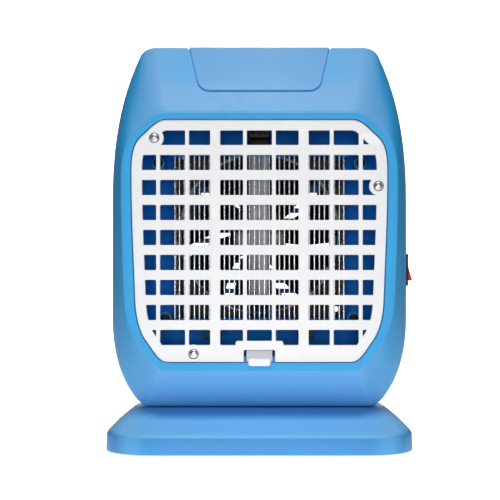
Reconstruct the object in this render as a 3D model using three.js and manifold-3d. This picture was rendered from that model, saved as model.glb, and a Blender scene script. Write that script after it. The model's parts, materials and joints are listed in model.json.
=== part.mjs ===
// Desktop electric insect killer: a UV lamp inside a cage of high-voltage wires, a suction fan behind it and a
// catch tray below, in a two-part housing on a wide foot.
// Millimetres. +Z is up, the grille faces -Y, and the origin is the middle of the foot's underside.
import * as THREE from "three";
import { mergeVertices } from "three/addons/utils/BufferGeometryUtils.js";
import Module from "manifold-3d";

const wasm = await Module();
wasm.setup();

// ---- Driving dimensions ------------------------------------------------------------------------------------

const gap = 0.3; // between pieces that touch
const wall = 2.6; // housing and foot walls

const foot = {
  halfWidth: 96.7,
  halfDepth: 60,
  cornerRadius: 32,
  lift: 1.5, // of its lower edge over the ground
  wallTop: 13.5, // where the upright edge turns into the slope
  top: 26.4,
  plateauHalfDepth: 20,
  plateauCorner: 14,
  draft: 1.2,
  sideRun: 15.3, // of the slope, from the edge in to the plateau
};
const rubberFoot = { radius: 8, height: 2.7 };

const housing = {
  halfWidth: 94.3,
  height: 230.8,
  frontY: -52,
  rearY: 52,
  bandFrontY: -18, // the housing has its full outline from here
  bandRearY: 22, // to here
  bulge: 0.35, // of the sloping front, 0 is flat
  rearRound: 9.5, // the rear face stands in from the full outline by this
  partingY: 4,
};
const bezel = { sideInset: 9.3, topInset: 46.6, bottomInset: 25.1 };
const ledge = { width: 4, thickness: 2.5 }; // behind the grille

const grille = {
  sideInset: 5.8, // from the bezel's outer edge
  topInset: 3.8,
  bottomInset: 5.2,
  sink: 1.2, // behind the bezel's face
  thickness: 3,
  border: 7,
  topBorder: 6.7,
  bottomBorder: 11,
  rows: 9,
  rowBar: 6,
  thinBar: 2.4,
  thickBar: 6.2,
  thinBarShares: [0.1124, 0.562, 0.7866], // of the grille's half width
  thickBarShare: 0.3434,
  padRadius: 5.8,
};
const grilleScrew = { headRadius: 2.9, headHeight: 1.4, shankRadius: 1.4, length: 8.5 };
const grilleBoss = { radius: 3.6, length: 8.5 };
const latch = {
  notchHalf: 9.6,
  notchTop: 8,
  bumpHalf: 14.7, // of the wider border above the notch
  tongueHalf: 8,
  tongueSink: 1.6, // behind the grille's face
  tabHalf: 6.75,
  tabHeight: 2.5,
  lip: 1.7,
  proud: 1.4,
};

const cover = { topHalf: 47.2, bottomHalf: 39.3, drop: 32.2, cornerRadius: 8.5, thickness: 1.4, proud: 0.4 };

const chamber = {
  y: -10, // front face of the chamber wall
  openingCorner: 18,
  rim: 2,
  rimDepth: 5.5,
  padHeight: 2, // of the fan screws' pads, which also carry the wire cage
};
const fan = {
  size: 110,
  depth: 25,
  cornerRadius: 5,
  ductRim: 2.5, // least width of the frame outside the duct
  tipClearance: 1.4,
  hubRadius: 19,
  blades: 7,
  screwInset: 5.5,
  shaftRadius: 1.5,
};

const cage = {
  wires: 33, // across the front
  wireRadius: 0.5,
  setBack: 8.9, // of its front behind the grille's ledge
  sideInset: 1.4, // of its sides inside the opening's
  cornerRun: 3, // from the outermost front wire to the side wires
  extraHeight: 3.5, // over the opening's
  holderWidth: 5.8,
  holderThickness: 4.5,
  grooveDepth: 3.2,
  bus: 0.9,
  terminalShare: 0.5425, // of the way out to the sides
};
const lamp = {
  setBack: 12.1, // behind the cage's front
  tubeRadius: 2.8,
  tubeSpacing: 6.2,
  shorter: 7, // than the cage
  capHalfX: 7,
  capHalfY: 5.5,
  capHeight: 8,
};

const tray = {
  halfWidth: 45,
  height: 18,
  wall: 1.8,
  setBack: 10, // behind the housing's front
  frontRun: 22,
  bossClear: 2.9, // under the lowest grille screw's boss
  faceMargin: 2.7,
};
const rockerSwitch = {
  y: -6,
  z: 87.8, // above the housing's bottom
  halfLength: 10.4,
  halfWidth: 7.5,
  proud: 1.8,
  depth: 11,
  rockerHalf: 7.8,
  tilt: 12,
};
const inlet = {
  z: 43.8, // above the housing's bottom
  halfWidth: 10,
  halfHeight: 5.5,
  depth: 18,
  flange: 2.4,
  pinRadius: 1.2,
  pinSpacing: 8.6,
};
const board = { halfWidth: 38, thickness: 1.6, y: 14, topDrop: 13.5, fanClear: 8.4, postRadius: 3 };

// Screws and what they run in
const pilot = 1.9; // radius of the holes for housing, chamber and stand screws
const boss = 4; // radius of the bosses round them
const standScrew = { headRadius: 3.2, headHeight: 2, shankRadius: 1.6 };
const housingPost = {
  radius: 5.4,
  well: 3.9,
  seat: 12, // of its screw's head, behind the parting line
  rib: 1.2,
};
const chamberBoss = { radius: 4.6, height: 4, headRoom: 3.4, floor: 1.4 };

// ---- Places worked out from them ---------------------------------------------------------------------------

const bottomZ = foot.top + gap;
const topZ = bottomZ + housing.height;
const bezelTop = topZ - bezel.topInset;
const bezelBottom = bottomZ + bezel.bottomInset;
const bezelHalf = housing.halfWidth - bezel.sideInset;
const grilleTop = bezelTop - grille.topInset;
const grilleBottom = bezelBottom + grille.bottomInset;
const grilleHalf = bezelHalf - grille.sideInset;
const grilleFrontY = housing.frontY + grille.sink;
const grilleBackY = grilleFrontY + grille.thickness;
const ledgeFrontY = grilleBackY + gap;
const ledgeBackY = ledgeFrontY + ledge.thickness;
const chamberBackY = chamber.y + wall;
const ductRadius = fan.size / 2 - fan.ductRim;
const fanScrewReach = fan.size / 2 - fan.screwInset;
const fanZ = (grilleTop + grilleBottom) / 2 + 6.5;
const fanFrontY = chamberBackY + gap;
const fanBackY = fanFrontY + fan.depth;
const openingHalf = fan.size / 2 - 0.5;
const openingHeight = fan.size - 9;
const cageFrontY = ledgeBackY + cage.setBack;
const cageSideX = openingHalf - cage.sideInset;
const cageHeight = openingHeight + cage.extraHeight; // between the holders
const cageTop = fanZ + cageHeight / 2 - 5;
const cageBottom = cageTop - cageHeight;
const cageBackY = chamber.y - chamber.padHeight - gap;
const wirePitch = (2 * (cageSideX - cage.cornerRun)) / (cage.wires - 1);
const sideWires = Math.floor((cageBackY - cageFrontY - 4) / wirePitch);
const lampY = cageFrontY + lamp.setBack;
const lampLength = cageHeight - lamp.shorter;
const trayFrontY = housing.frontY + tray.setBack;
const lowerScrewZ = grilleBottom + 5.5;
const trayTop = lowerScrewZ - grilleBoss.radius - tray.bossClear;
const trayBottom = trayTop - tray.height;
const rearInnerY = housing.rearY - wall;
const switchZ = bottomZ + rockerSwitch.z;
const inletZ = bottomZ + inlet.z;
const boardTop = topZ - board.topDrop;
const boardBottom = fanZ + fan.size / 2 + board.fanClear;

// Screw places, as [x, z]
const grilleScrews = {
  upper_left: [-(grilleHalf - 14.5), grilleTop - 11.7],
  right: [grilleHalf - 5.9, grilleTop - 41.3],
  lower_left: [-(grilleHalf - 38.7), lowerScrewZ],
};
const upperChamberScrew = { x: openingHalf + chamber.rim + 9, z: fanZ + openingHeight / 2 - 5.5 };
const lowerChamberScrew = { x: openingHalf + chamber.rim + 4.5, z: fanZ - openingHeight / 2 - 5 };
const chamberScrews = {
  upper_left: [-upperChamberScrew.x, upperChamberScrew.z],
  upper_right: [upperChamberScrew.x, upperChamberScrew.z],
  lower_left: [-lowerChamberScrew.x, lowerChamberScrew.z],
  lower_right: [lowerChamberScrew.x, lowerChamberScrew.z],
};
const housingScrews = {
  upper_left: [-(housing.halfWidth - 22.3), topZ - 52.5],
  upper_right: [housing.halfWidth - 22.3, topZ - 52.5],
  lower_left: [-(housing.halfWidth - 22.3), bottomZ + 35.3],
  lower_right: [housing.halfWidth - 22.3, bottomZ + 35.3],
};
const corners = { front_left: [-1, -1], front_right: [1, -1], rear_left: [-1, 1], rear_right: [1, 1] };

// ---- Outlines in the XZ plane ------------------------------------------------------------------------------

const SPAN_STEPS = 3;

// Nodes are [x, z, heading]: a heading of 0 runs outwards, 90 runs down and 180 runs inwards, in degrees.
const fullNodes = [
  [housing.halfWidth - 28.5, topZ, 0],
  [housing.halfWidth - 17.8, topZ - 5.7, 65],
  [housing.halfWidth, topZ - 97.5, 90],
  [housing.halfWidth, bottomZ + 57.3, 90],
  [housing.halfWidth - 14.8, bottomZ + 5.5, 128],
  [housing.halfWidth - 25, bottomZ, 180],
];
const bezelNodes = [
  [bezelHalf - 28, bezelTop, 0],
  [bezelHalf - 8.5, bezelTop - 12.7, 41],
  [bezelHalf, bezelTop - 38.9, 90],
  [bezelHalf - 2, bezelBottom + 43.2, 93],
  [bezelHalf - 13.5, bezelBottom + 12.7, 131],
  [bezelHalf - 27.3, bezelBottom, 180],
];
const grilleNodes = [
  [grilleHalf - 22.2, grilleTop, 0],
  [grilleHalf - 6.7, grilleTop - 10.1, 41],
  [grilleHalf, grilleTop - 37.1, 90],
  [grilleHalf - 2.2, grilleBottom + 41, 92],
  [grilleHalf - 9.7, grilleBottom + 12.5, 127],
  [grilleHalf - 23.2, grilleBottom, 180],
];

function headingVector(degrees) {
  const angle = THREE.MathUtils.degToRad(degrees);
  return new THREE.Vector2(Math.cos(angle), -Math.sin(angle));
}

// A closed outline through the nodes and their mirror image, with smooth stretches between them.
function outline(nodes, steps = SPAN_STEPS) {
  const right = [];
  for (let i = 0; i + 1 < nodes.length; i++) {
    const [x0, z0, h0] = nodes[i];
    const [x1, z1, h1] = nodes[i + 1];
    const start = new THREE.Vector2(x0, z0);
    const end = new THREE.Vector2(x1, z1);
    const turn = THREE.MathUtils.degToRad(h1 - h0);
    const handle = start.distanceTo(end) / (3 * Math.cos(turn / 4) ** 2);
    const curve = new THREE.CubicBezierCurve(
      start,
      start.clone().addScaledVector(headingVector(h0), handle),
      end.clone().addScaledVector(headingVector(h1), -handle),
      end,
    );
    const points = curve.getPoints(steps);
    right.push(...(i ? points.slice(1) : points));
  }
  const left = right.map((p) => new THREE.Vector2(-p.x, p.y)).reverse();
  return [...right, ...left];
}

function mixNodes(a, b, t) {
  return a.map((node, i) => node.map((value, k) => THREE.MathUtils.lerp(value, b[i][k], t)));
}

// The outline moved in by a distance, each point along the bisector of its two edges.
function inset(points, distance) {
  const centre = points.reduce((sum, p) => sum.add(p), new THREE.Vector2()).divideScalar(points.length);
  return points.map((p, i) => {
    const before = points[(i + points.length - 1) % points.length];
    const after = points[(i + 1) % points.length];
    const edgeIn = p.clone().sub(before).normalize();
    const edgeOut = after.clone().sub(p).normalize();
    const along = edgeIn.clone().add(edgeOut).normalize();
    const normal = new THREE.Vector2(-along.y, along.x);
    if (normal.dot(centre.clone().sub(p)) < 0) normal.negate();
    const mitre = Math.max(0.5, Math.sqrt((1 + edgeIn.dot(edgeOut)) / 2));
    return p.clone().addScaledVector(normal, distance / mitre);
  });
}

// The housing's outline at a depth: it swells from the bezel to the full outline, and rounds off at the rear.
function housingOutline(y, depth = 0) {
  if (y < housing.bandFrontY) {
    const t = (housing.bandFrontY - y) / (housing.bandFrontY - housing.frontY);
    return inset(outline(mixNodes(fullNodes, bezelNodes, t * (1 - housing.bulge * (1 - t)))), depth);
  }
  const t = Math.max(0, (y - housing.bandRearY) / (housing.rearY - housing.bandRearY));
  const roundOff = housing.rearRound * (1 - Math.sqrt(Math.max(0, 1 - t * t)));
  return inset(outline(fullNodes), roundOff + depth);
}

// The housing's half width at a height, where it has its full outline.
function halfWidthAt(z) {
  const points = outline(fullNodes, 24);
  return Math.max(...points.filter((p) => Math.abs(p.y - z) < 4).map((p) => p.x));
}

function roundedRectangle(halfX, halfY, radius, centreY = 0, steps = 6) {
  const points = [];
  for (let quarter = 0; quarter < 4; quarter++) {
    const signX = quarter === 0 || quarter === 3 ? 1 : -1;
    const signY = quarter < 2 ? 1 : -1;
    for (let i = 0; i <= steps; i++) {
      const angle = ((quarter + i / steps) * Math.PI) / 2;
      points.push(
        new THREE.Vector2(
          signX * (halfX - radius) + radius * Math.cos(angle),
          centreY + signY * (halfY - radius) + radius * Math.sin(angle),
        ),
      );
    }
  }
  return points;
}

// ---- Solids ------------------------------------------------------------------------------------------------

function toSolid(geometry) {
  const bare = geometry.index ? geometry.toNonIndexed() : geometry.clone();
  bare.deleteAttribute("normal");
  bare.deleteAttribute("uv");
  const merged = mergeVertices(bare, 1e-4);
  return new wasm.Manifold(
    new wasm.Mesh({
      numProp: 3,
      vertProperties: merged.attributes.position.array,
      triVerts: new Uint32Array(merged.index.array),
    }),
  );
}

function toGeometry(solid) {
  const mesh = solid.getMesh();
  const geometry = new THREE.BufferGeometry();
  geometry.setAttribute("position", new THREE.BufferAttribute(mesh.vertProperties, 3));
  geometry.setIndex(new THREE.BufferAttribute(mesh.triVerts, 1));
  geometry.computeVertexNormals();
  return geometry;
}

const join = (first, ...others) => others.reduce((whole, part) => whole.add(part), first);
const cut = (first, ...others) => others.reduce((whole, part) => whole.subtract(part), first);

// A closed skin over rings of points, all of one length, with a flat fan across each end.
function skin(rings) {
  const count = rings[0].length;
  const points = rings.flat();
  const middle = (ring) => ring.reduce((sum, p) => sum.add(p), new THREE.Vector3()).divideScalar(count);
  const first = points.push(middle(rings[0])) - 1;
  const last = points.push(middle(rings.at(-1))) - 1;
  const lastRing = (rings.length - 1) * count;
  const faces = [];
  for (let i = 0; i < count; i++) {
    const next = (i + 1) % count;
    faces.push([first, next, i], [last, lastRing + i, lastRing + next]);
    for (let ring = 0; ring < lastRing; ring += count) {
      faces.push([ring + i, ring + next, ring + count + i]);
      faces.push([ring + next, ring + count + next, ring + count + i]);
    }
  }
  const volume = faces.reduce((sum, [a, b, c]) => sum + points[a].dot(points[b].clone().cross(points[c])), 0);
  const geometry = new THREE.BufferGeometry().setFromPoints(points);
  geometry.setIndex((volume < 0 ? faces.map(([a, b, c]) => [a, c, b]) : faces).flat());
  return toSolid(geometry);
}

const liftY = (points, y) => points.map((p) => new THREE.Vector3(p.x, y, p.y));
const liftZ = (points, z) => points.map((p) => new THREE.Vector3(p.x, p.y, z));

// An XZ outline carried from y0 to y1.
const plate = (points, y0, y1) => skin([liftY(points, y0), liftY(points, y1)]);

// An outline of [y, z] points carried from x0 to x1.
function prismX(points, x0, x1) {
  return skin([x0, x1].map((x) => points.map(([y, z]) => new THREE.Vector3(x, y, z))));
}

function block([x0, x1], [y0, y1], [z0, z1]) {
  const geometry = new THREE.BoxGeometry(x1 - x0, y1 - y0, z1 - z0);
  return toSolid(geometry.translate((x0 + x1) / 2, (y0 + y1) / 2, (z0 + z1) / 2));
}

function rod(radius, from, to, sides = 14) {
  const start = new THREE.Vector3(...from);
  const end = new THREE.Vector3(...to);
  const geometry = new THREE.CylinderGeometry(radius, radius, start.distanceTo(end), sides);
  const turn = new THREE.Quaternion().setFromUnitVectors(
    new THREE.Vector3(0, 1, 0),
    end.clone().sub(start).normalize(),
  );
  geometry.applyQuaternion(turn);
  return toSolid(geometry.translate(...start.add(end).multiplyScalar(0.5)));
}

const rodY = (radius, x, z, y0, y1, sides) => rod(radius, [x, y0, z], [x, y1, z], sides);
const rodZ = (radius, x, y, z0, z1, sides) => rod(radius, [x, y, z0], [x, y, z1], sides);

// A screw along Y, its head resting on headY and its shank running towards +Y or -Y.
function screwY(headRadius, headHeight, shankRadius, length, [x, z], headY, direction) {
  const head = rodY(headRadius, x, z, headY - direction * headHeight, headY, 12);
  const shank = rodY(shankRadius, x, z, headY - direction * 0.1, headY + direction * length, 8);
  const slotDepth = [headY - direction * 2 * headHeight, headY - direction * 0.5 * headHeight];
  slotDepth.sort((a, b) => a - b);
  const slot = block([x - 0.4, x + 0.4], slotDepth, [z - headRadius * 0.6, z + headRadius * 0.6]);
  return cut(join(head, shank), slot);
}

// ---- Nodes -------------------------------------------------------------------------------------------------

const finishes = {
  blue: { color: 0x5c9fe0, roughness: 0.42, metalness: 0 },
  deepBlue: { color: 0x1a63b8, roughness: 0.35, metalness: 0 },
  white: { color: 0xf4f3f5, roughness: 0.4, metalness: 0 },
  black: { color: 0x111113, roughness: 0.4, metalness: 0 },
  red: { color: 0xc4101c, roughness: 0.3, metalness: 0 },
  rubber: { color: 0x1c1c1e, roughness: 0.85, metalness: 0 },
  glass: { color: 0xe6e8ee, roughness: 0.12, metalness: 0 },
  steel: { color: 0xc4c6ca, roughness: 0.3, metalness: 1 },
  brass: { color: 0xc9a24e, roughness: 0.35, metalness: 1 },
  copper: { color: 0xa85a2c, roughness: 0.45, metalness: 1 },
  greenBoard: { color: 0x1f6b3c, roughness: 0.55, metalness: 0 },
  yellow: { color: 0xd8b23a, roughness: 0.6, metalness: 0 },
};

const insectKiller = new THREE.Group();

function addNode(name, solid, finish) {
  const mesh = new THREE.Mesh(toGeometry(solid), new THREE.MeshStandardMaterial(finishes[finish]));
  mesh.name = name;
  insectKiller.add(mesh);
}

// ---- Foot --------------------------------------------------------------------------------------------------

const rubberPlaces = { x: foot.halfWidth - 21.7, y: foot.halfDepth - 24 };
const standScrewPlaces = {
  x: tray.halfWidth - 7,
  frontY: housing.partingY - 12,
  rearY: housing.partingY + 10,
};
const basePlateZ = foot.lift + 1.5;
const basePlateTop = basePlateZ + 2;

function footSolid(depth) {
  const edgeX = foot.halfWidth - depth;
  const edgeY = foot.halfDepth - depth;
  const radius = foot.cornerRadius - depth;
  const plateauX = foot.halfWidth - foot.draft - foot.sideRun - depth * 0.15;
  const low = depth ? foot.lift - 1 : foot.lift;
  return skin([
    liftZ(roundedRectangle(edgeX, edgeY, radius), low),
    liftZ(roundedRectangle(edgeX - foot.draft, edgeY - 1, radius - 1), foot.wallTop - depth * 0.6),
    liftZ(roundedRectangle(plateauX, foot.plateauHalfDepth, foot.plateauCorner), foot.top - depth),
  ]);
}

function baseCover() {
  const outer = footSolid(0);
  let cover = cut(outer, footSolid(wall));
  for (const [sx, sy] of Object.values(corners)) {
    const y = sy < 0 ? standScrewPlaces.frontY : standScrewPlaces.rearY;
    cover = cover.subtract(rodZ(pilot, sx * standScrewPlaces.x, y, foot.wallTop + 1.5, foot.top + 1, 10));
  }
  return cover;
}

function addFoot() {
  addNode("base_cover", baseCover(), "blue");
  const margin = wall + 0.8;
  const plateSize = [foot.halfWidth - margin, foot.halfDepth - margin];
  const plateOutline = roundedRectangle(...plateSize, foot.cornerRadius - margin);
  addNode("base_plate", skin([liftZ(plateOutline, basePlateZ), liftZ(plateOutline, basePlateTop)]), "black");
  for (const [corner, [sx, sy]] of Object.entries(corners)) {
    const pad = rodZ(rubberFoot.radius, sx * rubberPlaces.x, sy * rubberPlaces.y, 0, rubberFoot.height, 24);
    addNode("rubber_foot_" + corner, pad, "rubber");
    const standY = sy < 0 ? standScrewPlaces.frontY : standScrewPlaces.rearY;
    const standX = sx * standScrewPlaces.x;
    const headTop = foot.top - wall - gap;
    const { headRadius, headHeight, shankRadius } = standScrew;
    const standHead = rodZ(headRadius, standX, standY, headTop - headHeight, headTop, 16);
    const standShank = rodZ(shankRadius, standX, standY, headTop - 0.5, trayBottom - 3, 10);
    addNode("stand_screw_" + corner, standHead.add(standShank), "steel");
  }
}

// ---- Housing -----------------------------------------------------------------------------------------------

const frontStations = [0, 0.2, 0.45, 0.7, 1].map((t) =>
  THREE.MathUtils.lerp(housing.frontY, housing.bandFrontY, t),
);
const rearStations = [0, 0.35, 0.62, 0.82, 0.94, 1].map((t) =>
  THREE.MathUtils.lerp(housing.bandRearY, housing.rearY, t),
);

const housingLoft = (stations, depth = 0) => skin(stations.map((y) => liftY(housingOutline(y, depth), y)));

// The trapezoid of the top cover, seen from the front. It runs up past the crown.
function coverOutline(margin) {
  const low = topZ - cover.drop + margin;
  const slant = (cover.topHalf - cover.bottomHalf) / cover.drop;
  const half = cover.bottomHalf - margin;
  const radius = cover.cornerRadius - margin;
  const corner = [];
  for (let i = 0; i <= 4; i++) {
    const angle = -Math.PI / 2 + (i / 4) * (Math.PI / 2 - Math.atan(slant));
    const x = half - radius + radius * Math.cos(angle);
    corner.push(new THREE.Vector2(x, low + radius + radius * Math.sin(angle)));
  }
  const rise = topZ + 10 - corner.at(-1).y;
  corner.push(new THREE.Vector2(corner.at(-1).x + slant * rise, topZ + 10));
  const mirrored = corner.map((p) => new THREE.Vector2(-p.x, p.y)).reverse();
  return [...corner, ...mirrored];
}

function coverPrism(margin) {
  return plate(coverOutline(margin), housing.frontY, housing.partingY - gap / 2 - margin);
}

function topCover() {
  const stations = [...frontStations, housing.partingY];
  const layer = cut(housingLoft(stations, -cover.proud), housingLoft(stations, cover.thickness - cover.proud));
  return layer.intersect(coverPrism(gap));
}

function standBoss(sx, y) {
  return rodZ(boss, sx * standScrewPlaces.x, y, bottomZ, trayBottom - 1.5);
}

function frontShell() {
  const stations = [...frontStations, housing.partingY - gap / 2];
  const outer = housingLoft(stations);
  const slopeStations = [0, 0.3, 0.63, 1].map((t) => THREE.MathUtils.lerp(ledgeBackY, housing.bandFrontY, t));
  const cavity = housingLoft([...slopeStations, housing.partingY + 1], wall);
  const grilleSeat = plate(outline(grilleNodes), housing.frontY - 1, ledgeFrontY);
  const window = plate(inset(outline(grilleNodes), ledge.width), housing.frontY - 1, ledgeBackY + 1);
  const coverPocket = cut(coverPrism(0), housingLoft([...stations, housing.partingY + 1], cover.thickness));
  let shell = cut(outer, cavity, grilleSeat, window, coverPocket);
  for (const [x, z] of Object.values(grilleScrews)) {
    const bossEndY = ledgeFrontY + grilleBoss.length;
    shell = shell.add(rodY(grilleBoss.radius, x, z, ledgeFrontY, bossEndY).intersect(outer));
    shell = shell.subtract(rodY(grilleScrew.shankRadius + gap, x, z, housing.frontY, bossEndY - 0.5, 10));
  }
  for (const [x, z] of Object.values(housingScrews)) {
    const side = Math.sign(x);
    const reach = [x, side * halfWidthAt(z)].sort((a, b) => a - b);
    const depth = [chamberBackY + gap, housing.partingY - gap / 2];
    const rib = block(reach, depth, [z - housingPost.rib, z + housingPost.rib]);
    shell = shell.add(join(rib, rodY(boss, x, z, ...depth)).intersect(outer));
    shell = shell.subtract(rodY(pilot, x, z, depth[0] + 2, housing.partingY + 1, 10));
  }
  for (const side of [-1, 1]) {
    const x = side * standScrewPlaces.x;
    shell = shell.add(standBoss(side, standScrewPlaces.frontY));
    shell = shell.subtract(rodZ(pilot, x, standScrewPlaces.frontY, bottomZ - 1, trayBottom - 2, 10));
  }
  const hole = rockerSwitch;
  return shell.subtract(
    block(
      [housing.halfWidth - 8, housing.halfWidth + 8],
      [hole.y - hole.halfWidth + 1.2, hole.y + hole.halfWidth - 1.2],
      [switchZ - hole.halfLength + 0.9, switchZ + hole.halfLength - 0.9],
    ),
  );
}

function rearVents() {
  const slotHeight = 3.4;
  const pitch = 7;
  const radius = ductRadius - 2.5;
  const rib = 2.5;
  const rows = Math.floor(radius / pitch) - 1; // above and below the middle one
  const slots = [];
  for (let row = -rows; row <= rows; row++) {
    const half = Math.sqrt(radius ** 2 - (row * pitch) ** 2);
    const z = fanZ + row * pitch;
    for (const side of [-1, 1]) {
      const reach = [side * rib, side * half].sort((a, b) => a - b);
      slots.push(block(reach, [rearInnerY - 1, housing.rearY + 1], [z - slotHeight / 2, z + slotHeight / 2]));
    }
  }
  return slots;
}

function rearShell() {
  const outer = housingLoft([housing.partingY + gap / 2, ...rearStations]);
  const cavityStations = [housing.partingY - 1, ...rearStations.slice(0, 4), rearInnerY];
  let shell = cut(outer, housingLoft(cavityStations, wall), ...rearVents());
  for (const [x, z] of Object.values(chamberScrews)) {
    shell = shell.add(rodY(boss, x, z, fanFrontY, rearInnerY + 0.5));
    shell = shell.subtract(rodY(pilot, x, z, fanFrontY - 1, fanFrontY + 14, 10));
  }
  for (const [x, z] of Object.values(housingScrews)) {
    const side = Math.sign(x);
    const reach = [x, side * (halfWidthAt(z) - 6)].sort((a, b) => a - b);
    const frontY = housing.partingY + gap / 2;
    const seatY = housing.partingY + housingPost.seat;
    const rib = block(reach, [frontY, rearInnerY], [z - housingPost.rib, z + housingPost.rib]);
    const post = rodY(housingPost.radius, x, z, frontY, rearInnerY + 0.5);
    shell = shell.add(join(rib, post).intersect(outer));
    shell = cut(
      shell,
      rodY(housingPost.well, x, z, seatY, housing.rearY + 1),
      rodY(pilot, x, z, frontY - 1, seatY + 1, 10),
    );
  }
  for (const side of [-1, 1]) {
    const x = side * standScrewPlaces.x;
    const runnerX = side * (standScrewPlaces.x - 12);
    const runner = block(
      [runnerX - 1.5, runnerX + 1.5],
      [housing.partingY + 6, rearInnerY + 0.5],
      [bottomZ + 1, trayBottom - gap],
    );
    shell = join(shell, standBoss(side, standScrewPlaces.rearY), runner.intersect(outer));
    shell = shell.subtract(rodZ(pilot, x, standScrewPlaces.rearY, bottomZ - 1, trayBottom - 2, 10));
  }
  const trayMouth = block(
    [-tray.halfWidth - tray.faceMargin - gap, tray.halfWidth + tray.faceMargin + gap],
    [rearInnerY - 1, housing.rearY + 1],
    [trayBottom - 1 - gap, trayTop + 2 + gap],
  );
  const inletHole = block(
    [-inlet.halfWidth - gap, inlet.halfWidth + gap],
    [rearInnerY - 1, housing.rearY + 1],
    [inletZ - inlet.halfHeight - gap, inletZ + inlet.halfHeight + gap],
  );
  return cut(shell, trayMouth, inletHole);
}

function addHousing() {
  addNode("front_shell", frontShell(), "blue");
  addNode("rear_shell", rearShell(), "blue");
  addNode("top_cover", topCover(), "blue");
  for (const [corner, place] of Object.entries(housingScrews)) {
    const seatY = housing.partingY + housingPost.seat + gap;
    addNode("housing_screw_" + corner, screwY(3.4, 2.4, 1.6, 20, place, seatY, -1), "steel");
  }
}

// ---- Grille and latch --------------------------------------------------------------------------------------

function frontGrille() {
  const edge = inset(outline(grilleNodes), gap);
  const whole = plate(edge, grilleFrontY, grilleBackY);
  const innerTop = grilleTop - grille.topBorder;
  const innerBottom = grilleBottom + grille.bottomBorder;
  const depth = [grilleFrontY - 1, grilleBackY + 1];
  const inside = plate(inset(edge, grille.border - gap), ...depth).intersect(
    block([-grilleHalf, grilleHalf], depth, [innerBottom, innerTop]),
  );
  const pitch = (innerTop - innerBottom + grille.rowBar) / grille.rows;
  const bars = [];
  for (let row = 1; row < grille.rows; row++) {
    const z = innerTop - row * pitch + grille.rowBar;
    bars.push(block([-grilleHalf, grilleHalf], depth, [z - grille.rowBar, z]));
  }
  for (const side of [-1, 1]) {
    for (const share of grille.thinBarShares) {
      const thin = side * share * grilleHalf;
      bars.push(block([thin - grille.thinBar / 2, thin + grille.thinBar / 2], depth, [0, topZ]));
    }
    const thick = side * grille.thickBarShare * grilleHalf;
    bars.push(block([thick - grille.thickBar / 2, thick + grille.thickBar / 2], depth, [0, topZ]));
  }
  const bump = block([-latch.bumpHalf, latch.bumpHalf], depth, [innerBottom - 4, innerBottom + 2.6]);
  const pads = Object.values(grilleScrews).map(([x, z]) => rodY(grille.padRadius, x, z, ...depth));
  const holes = Object.values(grilleScrews).flatMap(([x, z]) => [
    rodY(grilleScrew.shankRadius + gap, x, z, ...depth, 10),
    rodY(grilleScrew.headRadius + gap, x, z, depth[0], grilleFrontY + grilleScrew.headHeight + gap),
  ]);
  const notchZ = [grilleBottom - 1, grilleBottom + latch.notchTop];
  const notch = block([-latch.notchHalf, latch.notchHalf], depth, notchZ);
  return cut(whole, cut(inside, ...bars, bump, ...pads), ...holes, notch);
}

function grilleLatch() {
  const root = grilleBottom + latch.notchTop - gap;
  const low = grilleBottom + gap;
  const tongueY = [grilleFrontY + latch.tongueSink, grilleBackY];
  const tongue = block([-latch.tongueHalf, latch.tongueHalf], tongueY, [low, root]);
  const frontY = housing.frontY - latch.proud;
  const tab = block([-latch.tabHalf, latch.tabHalf], [frontY, grilleFrontY + 2], [low, low + latch.tabHeight]);
  const lip = block(
    [-latch.tabHalf, latch.tabHalf],
    [frontY, housing.frontY - gap],
    [grilleBottom - latch.lip, low + 0.5],
  );
  return join(tongue, tab, lip);
}

function addGrille() {
  addNode("front_grille", frontGrille(), "white");
  addNode("grille_latch", grilleLatch(), "white");
  const { headRadius, headHeight, shankRadius, length } = grilleScrew;
  for (const [corner, place] of Object.entries(grilleScrews)) {
    const screw = screwY(headRadius, headHeight, shankRadius, length, place, grilleFrontY + headHeight, 1);
    addNode("grille_screw_" + corner, screw, "steel");
  }
}

// ---- Lamp chamber ------------------------------------------------------------------------------------------

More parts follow.
